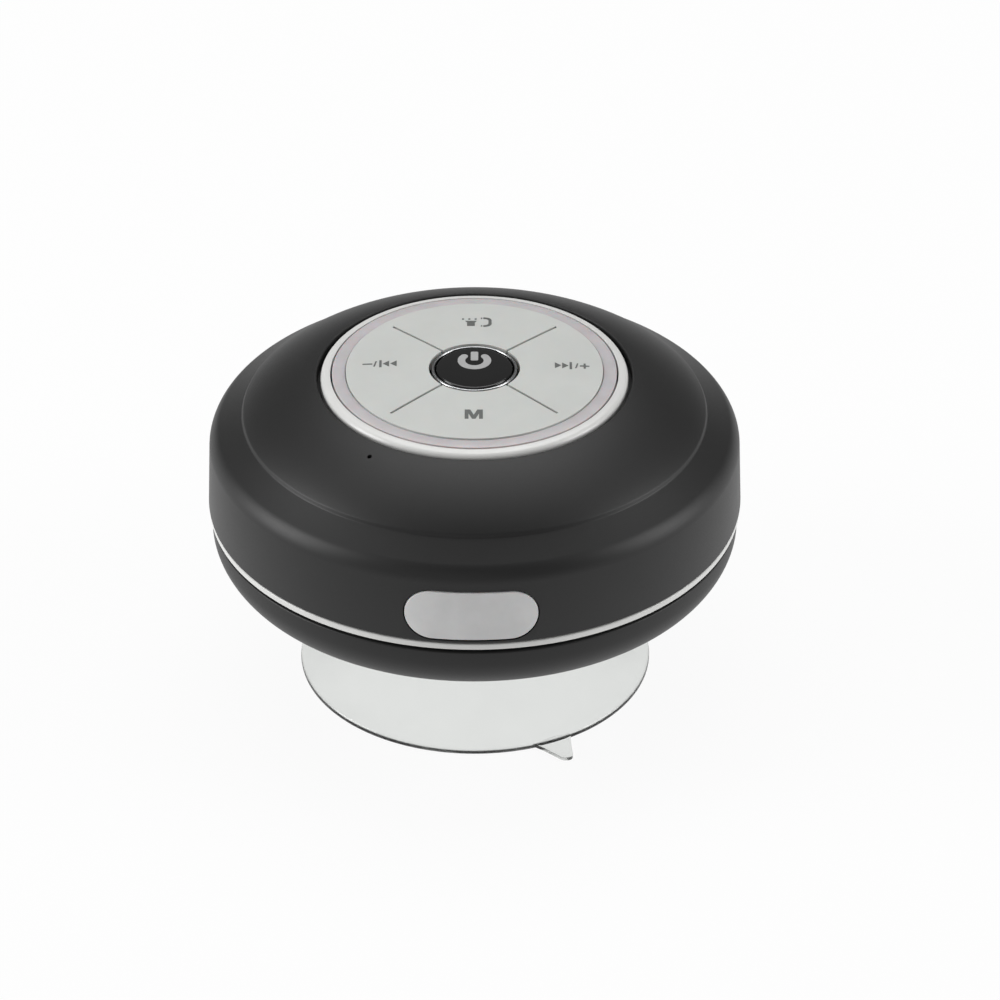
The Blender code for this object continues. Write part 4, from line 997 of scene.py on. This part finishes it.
def arc_band(bm, centre, inner, outer, start, end, low, high, steps=60):
    """Part of a flat ring, square in section."""
    first = bm.verts.new(spot(inner, start))
    second = bm.verts.new(spot(outer, start))
    bmesh.ops.spin(
        bm,
        geom=[first, second, bm.edges.new((first, second))],
        cent=(0, 0, 0),
        axis=(0, 0, 1),
        angle=math.radians(end - start),
        steps=steps,
        use_merge=False,
    )
    thicken(bm, high - low)
    bmesh.ops.translate(bm, verts=bm.verts, vec=(*centre, low))
    tidy(bm)


class SPEAKER_OT_power_button(Operator):
    """Model the gloss power button, its inlaid symbol and the bright ring round it"""

    bl_idname = "speaker.power_button"
    bl_label = "Power button"

    def execute(self, context):
        s = context.scene.speaker_sizes
        radius, top = BUTTON_HIGH.x, BUTTON_HIGH.z
        rim_z = top - 0.12 * MM
        profile = [
            (0, top), (radius * 0.55, top - 0.02 * MM), (radius, rim_z, 0.3 * MM, 5),
            (radius, top - s.key_thickness, 0.1 * MM, 3), (radius - MM, top - s.key_thickness),
            (radius - 1.4 * MM, top - 1.2 * MM, 0.2 * MM, 3), (1.3 * MM, top - 1.2 * MM),
            (1.2 * MM, BUTTON_LOW.z, 0.2 * MM, 3), (0, BUTTON_LOW.z),
        ]
        button = turned_piece("power_button_cap", profile, "gloss_black_abs")
        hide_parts("power_button")
        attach(button, "power_button")

        sign = bmesh.new()
        centre = (0, s.symbol_shift)
        outer, stroke = s.symbol_radius, s.symbol_stroke
        low, high = top - 0.4 * MM, top + 0.03 * MM
        start, end = 90 + s.symbol_opening / 2, 450 - s.symbol_opening / 2
        arc_band(sign, centre, outer - stroke, outer, start, end, low, high)
        symbol = solid("power_symbol", sign, "symbol_polycarbonate")
        half = stroke / 2
        for degrees in (start, end):
            tip = bmesh.new()
            pin(tip, Vector((*centre, 0)) + spot(outer - half, degrees), half, low, high, 32)
            cut(symbol, tip, "UNION")
        points = [
            (x, centre[1] + y, 0.3 * MM, 4)
            for x, y in ((-half, 0), (half, 0), (half, s.symbol_bar), (-half, s.symbol_bar))
        ]
        upright = bmesh.new()
        extruded(upright, points, low, high)
        cut(symbol, upright, "UNION")
        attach(symbol, "power_button")

        inner, outer = s.ring_inner, RING_HIGH.x
        profile = [
            (inner, RING_LOW.z), (outer, RING_LOW.z), (outer, RING_HIGH.z, 0.2 * MM, 5),
            (inner, RING_HIGH.z, 0.2 * MM, 5),
        ]
        ring = turned_piece("satin_button_ring", profile, "satin_chrome")
        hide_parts("power_button_ring")
        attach(ring, "root")
        return {"FINISHED"}


# ---------------------------------------------------------------- port


class SPEAKER_OT_port_cover(Operator):
    """Model the rubber flap with its plug, and the strap that holds it to the casing"""

    bl_idname = "speaker.port_cover"
    bl_label = "Port cover"

    def execute(self, context):
        s = context.scene.speaker_sizes
        outer_r = SHELL_HIGH.x - 0.05 * MM
        back_r = outer_r - s.flap_thickness
        bm = bmesh.new()
        curved_stadium(bm, 0.0, back_r, outer_r, s.flap_edge)
        flap = solid("silicone_port_flap", bm, "flap_silicone")
        socket = middle("usb_socket")
        plug_back = FLAP_HIGH.y
        plug_front = -back_r - 0.2 * MM
        plug = bmesh.new()
        place = (socket.x, (plug_back + plug_front) / 2, socket.z)
        rounded_box(plug, place, (s.plug_width, plug_back - plug_front, s.plug_height), 0.7 * MM)
        tip = [e for e in plug.edges if all(v.co.y > plug_back - 1e-6 for v in e.verts)]
        bevel(plug, tip, 0.3 * MM, 3)
        cut(flap, plug, "UNION")
        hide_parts("port_cover")
        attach(flap, "port_cover")

        anchor_x = (ANCHOR_LOW.x + ANCHOR_HIGH.x) / 2
        bm = bmesh.new()
        points = [
            (anchor_x - 0.3 * MM, -43.6 * MM), (anchor_x + 0.3 * MM, -43.6 * MM),
            (anchor_x + 0.3 * MM, -44.66 * MM, 0.2 * MM, 4), (-10.4 * MM, -44.4 * MM),
            (-11.0 * MM, -44.3 * MM), (-11.0 * MM, -43.98 * MM), (-10.4 * MM, -44.12 * MM),
            (anchor_x - 0.3 * MM, -44.33 * MM, 0.15 * MM, 4),
        ]
        extruded(bm, points, ANCHOR_LOW.z + MM, ANCHOR_HIGH.z - MM)
        strap = solid("port_flap_strap", bm, "flap_silicone")
        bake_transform(strap)
        return {"FINISHED"}


class SPEAKER_OT_usb_socket(Operator):
    """Model the charging socket's folded steel shell with its tongue and contacts"""

    bl_idname = "speaker.usb_socket"
    bl_label = "Charging socket"

    def execute(self, context):
        s = context.scene.speaker_sizes
        place = middle("usb_socket")
        size = SOCKET_HIGH - SOCKET_LOW
        wall = s.socket_wall
        bm = bmesh.new()
        rounded_box(bm, place, size, 0.9 * MM)
        shell = solid("steel_usb_shell", bm, "nickel_plated_steel")
        hollow = bmesh.new()
        depth = size.y - 1.1 * MM
        inside = (size.x - 2 * wall, depth + MM, size.z - 2 * wall)
        rounded_box(hollow, (place.x, SOCKET_LOW.y + (depth - MM) / 2, place.z), inside, 0.5 * MM)
        cut(shell, hollow)
        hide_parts("usb_socket")
        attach(shell, "root")

        tongue = bmesh.new()
        reach = depth - 0.8 * MM
        back = SOCKET_LOW.y + depth + 0.2 * MM
        middle_y = back - reach / 2
        low = place.z - 0.1 * MM
        rounded_box(tongue, (place.x, middle_y, low), (5.4 * MM, reach, 0.6 * MM), 0.12 * MM)
        tongue = solid("usb_tongue", tongue, "moulded_epoxy")
        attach(tongue, "root")
        contacts = bmesh.new()
        for i in range(5):
            x = place.x + (i - 2) * s.contact_pitch
            size = (0.4 * MM, reach * 0.85, 0.08 * MM)
            rounded_box(contacts, (x, middle_y, low + 0.33 * MM), size, 0.02 * MM)
        contacts = solid("usb_contacts", contacts, "gilt_contacts")
        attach(contacts, "root")
        return {"FINISHED"}


# ---------------------------------------------------------------- cup


class SPEAKER_OT_suction_cup(Operator):
    """Model the clear cup with its pull tab, and the stem that snaps into the base"""

    bl_idname = "speaker.suction_cup"
    bl_label = "Suction cup"

    def execute(self, context):
        s = context.scene.speaker_sizes
        hub_z, rim = HUB_Z, s.cup_radius
        profile = [
            (0, hub_z - 3.2 * MM), (5.5 * MM, hub_z - 3.2 * MM), (5.5 * MM, hub_z, 0.2 * MM, 3),
            (9.5 * MM, hub_z, 0.5 * MM, 5), (9.5 * MM, hub_z - 2.4 * MM, 0.6 * MM, 4),
            (12.0 * MM, hub_z - 4.0 * MM, 1.2 * MM, 4), (17.05 * MM, hub_z - 6.9 * MM),
            (23.2 * MM, hub_z - 11.45 * MM, 0.8 * MM, 5), (28.5 * MM, 1.9 * MM, 2.0 * MM, 5),
            (rim, 1.1 * MM, 0.5 * MM, 6), (rim, 0, 0.5 * MM, 6), (rim - s.cup_lip, 0),
            (28.0 * MM, 0.5 * MM, 1.2 * MM, 4), (22.6 * MM, 3.9 * MM, 1.2 * MM, 4),
            (16.6 * MM, 8.0 * MM, 2.0 * MM, 4), (11.0 * MM, s.cup_hollow - 0.3 * MM, 1.5 * MM, 4),
            (6.8 * MM, s.cup_hollow), (0, s.cup_hollow),
        ]
        # Short faces along the skirt.
        cup = turned_piece("clear_cup_skirt", profile, "clear_pvc", longest=1.5 * MM)
        tab = bmesh.new()
        half, nose = s.tab_width / 2, rim + s.tab_reach
        points = [
            (rim - 1.5 * MM, -half - 0.8 * MM), (rim + 1.2 * MM, -half + 0.6 * MM, 0.8 * MM),
            (nose, -0.85 * MM, 1.0 * MM), (nose, 0.85 * MM, 1.0 * MM),
            (rim + 1.2 * MM, half - 0.6 * MM, 0.8 * MM), (rim - 1.5 * MM, half + 0.8 * MM),
        ]
        extruded(tab, points, 0.1 * MM, 0.75 * MM)
        upper = [f for f in tab.faces if f.normal.z > 0.9]
        bmesh.ops.inset_region(tab, faces=upper, thickness=0.7 * MM, use_even_offset=True)
        bmesh.ops.translate(
            tab,
            verts=list({v for f in upper for v in f.verts}),
            vec=(0, 0, -0.3 * MM),
        )
        turned = Matrix.Rotation(math.radians(s.tab_angle), 4, "Z")
        bmesh.ops.transform(tab, matrix=turned, verts=tab.verts)
        cut(cup, tab, "UNION")
        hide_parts("suction_cup_skirt")
        flex(cup, 10 * MM, 28 * MM)

        foot, top = STEM_LOW.z, STEM_HIGH.z
        collar = top - 7.2 * MM
        profile = [
            (0, foot), (5.2 * MM, foot, 0.3 * MM, 3), (5.2 * MM, collar),
            (STEM_HIGH.x, collar, 0.2 * MM, 3), (STEM_HIGH.x, collar + 1.2 * MM, 0.3 * MM, 3),
            (4.5 * MM, collar + 1.5 * MM, 0.3 * MM, 3), (3.9 * MM, collar + 1.9 * MM),
            (3.9 * MM, top - 2.6 * MM, 0.3 * MM, 3), (6.5 * MM, top - 2.6 * MM, 0.2 * MM, 3),
            (6.5 * MM, top - 1.6 * MM, 0.3 * MM, 3), (4.9 * MM, top, 0.4 * MM, 3), (0, top),
        ]
        stem = turned_piece("clear_cup_stem", profile, "clear_pvc", 96)
        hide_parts("suction_cup_stem")
        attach(stem, "cup_stem")
        return {"FINISHED"}


class SPEAKER_OT_shell_screws(Operator):
    """Model the three cross-recess screws under the base"""

    bl_idname = "speaker.shell_screws"
    bl_label = "Shell screws"

    def execute(self, context):
        for i in (1, 2, 3):
            low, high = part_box(f"shell_screw_{i}")
            centre = (low + high) / 2
            head, shank = (high.x - low.x) / 2, sizes().shank
            profile = [
                (0, low.z), (head, low.z, 0.45 * MM, 5), (head, low.z + 1.2 * MM, 0.1 * MM, 2),
                (shank, low.z + 1.2 * MM), (shank, high.z - 1.2 * MM), (0.4 * MM, high.z),
                (0, high.z),
            ]
            name = f"cross_screw_{i}"
            screw = turned_piece(name, profile, "nickel_plated_steel", 48, centre=centre.xy)
            for turned in (0.3 + i, 0.3 + i + math.pi / 2):
                cross = bmesh.new()
                block(cross, (centre.x, centre.y, low.z), (2.6 * MM, 0.55 * MM, 1.6 * MM), turned)
                cut(screw, cross)
            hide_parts(f"shell_screw_{i}")
            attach(screw, "root")
        return {"FINISHED"}


class SPEAKER_OT_roll_surround(Operator):
    """Model the driver's rubber roll between its flange and the moving cone"""

    bl_idname = "speaker.roll_surround"
    bl_label = "Roll surround"

    def execute(self, context):
        top, low = ROLL_HIGH.z, ROLL_LOW.z
        rubber = context.scene.speaker_sizes.rubber
        profile = [
            (13.4 * MM, top - rubber), (14.4 * MM, top - rubber, 0.1 * MM, 2),
            (14.4 * MM, low, 1.25 * MM, 8), (18.6 * MM, low, 1.25 * MM, 8),
            (18.6 * MM, top - rubber, 0.1 * MM, 2), (ROLL_HIGH.x, top - rubber),
            (ROLL_HIGH.x, top), (18.25 * MM, top, 0.2 * MM, 3),
            (18.25 * MM, low + rubber, 1.0 * MM, 8), (14.75 * MM, low + rubber, 1.0 * MM, 8),
            (14.75 * MM, top, 0.2 * MM, 3), (13.4 * MM, top),
        ]
        roll = turned_piece("rubber_roll_surround", profile, "nitrile_rubber")
        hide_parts("driver_surround")
        flex(roll, 17.9 * MM, 14.5 * MM)
        return {"FINISHED"}


class SPEAKER_OT_inner_finishes(Operator):
    """Give every part inside the casing the finish of what it is made of"""

    bl_idname = "speaker.inner_finishes"
    bl_label = "Inner finishes"

    def execute(self, context):
        for name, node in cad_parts.items():
            if node.hide_render:
                continue
            known = [
                (len(start), finish)
                for finish, starts in INNER_FINISHES.items()
                for start in starts
                if name.startswith(start)
            ]
            material = finish_of(max(known)[1])
            if not node.material_slots:
                node.data.materials.append(material)
            for place in node.material_slots:
                place.material = material
            shade(node)
        return {"FINISHED"}


# ---------------------------------------------------------------- stage


def area_light(name, place, aim, size, power, tint="ffffff"):
    """A soft rectangular light that faces the aim."""
    light = bpy.data.lights.new(name, "AREA")
    light.shape = "RECTANGLE"
    light.size, light.size_y = size
    light.energy = power
    light.color = linear(tint)[:3]
    lamp = bpy.data.objects.new(name, light)
    bpy.context.scene.collection.objects.link(lamp)
    lamp.location = place
    lamp.rotation_euler = (Vector(aim) - Vector(place)).to_track_quat("-Z", "Y").to_euler()


class SPEAKER_OT_stage(Operator):
    """Lay the pale floor, and set the soft lights and the camera"""

    bl_idname = "speaker.stage"
    bl_label = "Stage"

    def execute(self, context):
        scene = context.scene
        bm = bmesh.new()
        bmesh.ops.create_grid(bm, x_segments=4, y_segments=4, size=40.0)
        # A film of air under the cup, so that its clear rim shares no plane with the floor.
        bmesh.ops.translate(bm, verts=bm.verts, vec=(0, 0, -0.1 * MM))
        mesh = mesh_of(bm, "floor")
        floor = bpy.data.objects.new("floor", mesh)
        scene.collection.objects.link(floor)
        material = bpy.data.materials.new("seamless_paper")
        material.use_nodes = True
        material.node_tree.nodes.clear()
        shader = add_node(
            material,
            "ShaderNodeBsdfPrincipled",
            {
                "Base Color": linear("3e3e3e"),
                "Roughness": 0.9,
                "Specular IOR Level": 0.0,
                "Emission Color": linear("ffffff"),
                "Emission Strength": 0.93,
            },
        )
        add_node(material, "ShaderNodeOutputMaterial", {"Surface": shader.outputs["BSDF"]})
        mesh.materials.append(material)

        world = bpy.data.worlds.new("studio")
        world.use_nodes = True
        world.node_tree.nodes["Background"].inputs["Color"].default_value = linear("ffffff")
        world.node_tree.nodes["Background"].inputs["Strength"].default_value = 0.15
        scene.world = world

        target = (0, 0, 0.04)
        area_light("top_softbox", (0.0, 0.35, 0.95), target, (0.9, 0.7), 6.2)
        area_light("left_softbox", (-1.0, -0.1, 0.45), target, (0.5, 0.8), 10.5)
        area_light("right_softbox", (1.0, -0.1, 0.45), target, (0.5, 0.8), 7.6)
        area_light("front_softbox", (-0.2, -1.1, 0.45), target, (0.8, 0.4), 0.8)

        camera = bpy.data.cameras.new("camera")
        camera.lens = 205.5
        camera.sensor_width = 36
        camera.clip_start, camera.clip_end = 0.05, 20
        holder = bpy.data.objects.new("camera", camera)
        scene.collection.objects.link(holder)
        holder.location = (0.00442, -0.8400, 0.5753)
        holder.rotation_euler = (math.radians(57.14), 0, 0)
        scene.camera = holder
        scene.view_settings.view_transform = "Standard"
        return {"FINISHED"}


# ---------------------------------------------------------------- panel and running


OPERATORS = (
    SPEAKER_OT_top_shell,
    SPEAKER_OT_bottom_shell,
    SPEAKER_OT_trim,
    SPEAKER_OT_bezel,
    SPEAKER_OT_keypad,
    SPEAKER_OT_legends,
    SPEAKER_OT_power_button,
    SPEAKER_OT_port_cover,
    SPEAKER_OT_usb_socket,
    SPEAKER_OT_suction_cup,
    SPEAKER_OT_shell_screws,
    SPEAKER_OT_roll_surround,
    SPEAKER_OT_inner_finishes,
    SPEAKER_OT_stage,
)


class SPEAKER_PT_pieces(Panel):
    """The speaker's sizes, colours and pieces"""

    bl_idname = "SPEAKER_PT_pieces"
    bl_label = "Shower speaker"
    bl_space_type = "VIEW_3D"
    bl_region_type = "UI"
    bl_category = "Speaker"

    def draw(self, context):
        for settings in (context.scene.speaker_sizes, context.scene.speaker_colours):
            column = self.layout.column(align=True)
            for name in settings.__annotations__:
                column.prop(settings, name)
        column = self.layout.column()
        for operator in OPERATORS:
            column.operator(operator.bl_idname)


CLASSES = (SpeakerSizes, SpeakerColours, *OPERATORS, SPEAKER_PT_pieces)


def register():
    for cls in CLASSES:
        bpy.utils.register_class(cls)
    bpy.types.Scene.speaker_sizes = PointerProperty(type=SpeakerSizes)
    bpy.types.Scene.speaker_colours = PointerProperty(type=SpeakerColours)


def unregister():
    del bpy.types.Scene.speaker_colours
    del bpy.types.Scene.speaker_sizes
    for cls in reversed(CLASSES):
        bpy.utils.unregister_class(cls)


def main():
    register()
    for operator in OPERATORS:
        getattr(bpy.ops.speaker, operator.bl_idname.split(".")[1])()


if __name__ == "__main__":
    main()
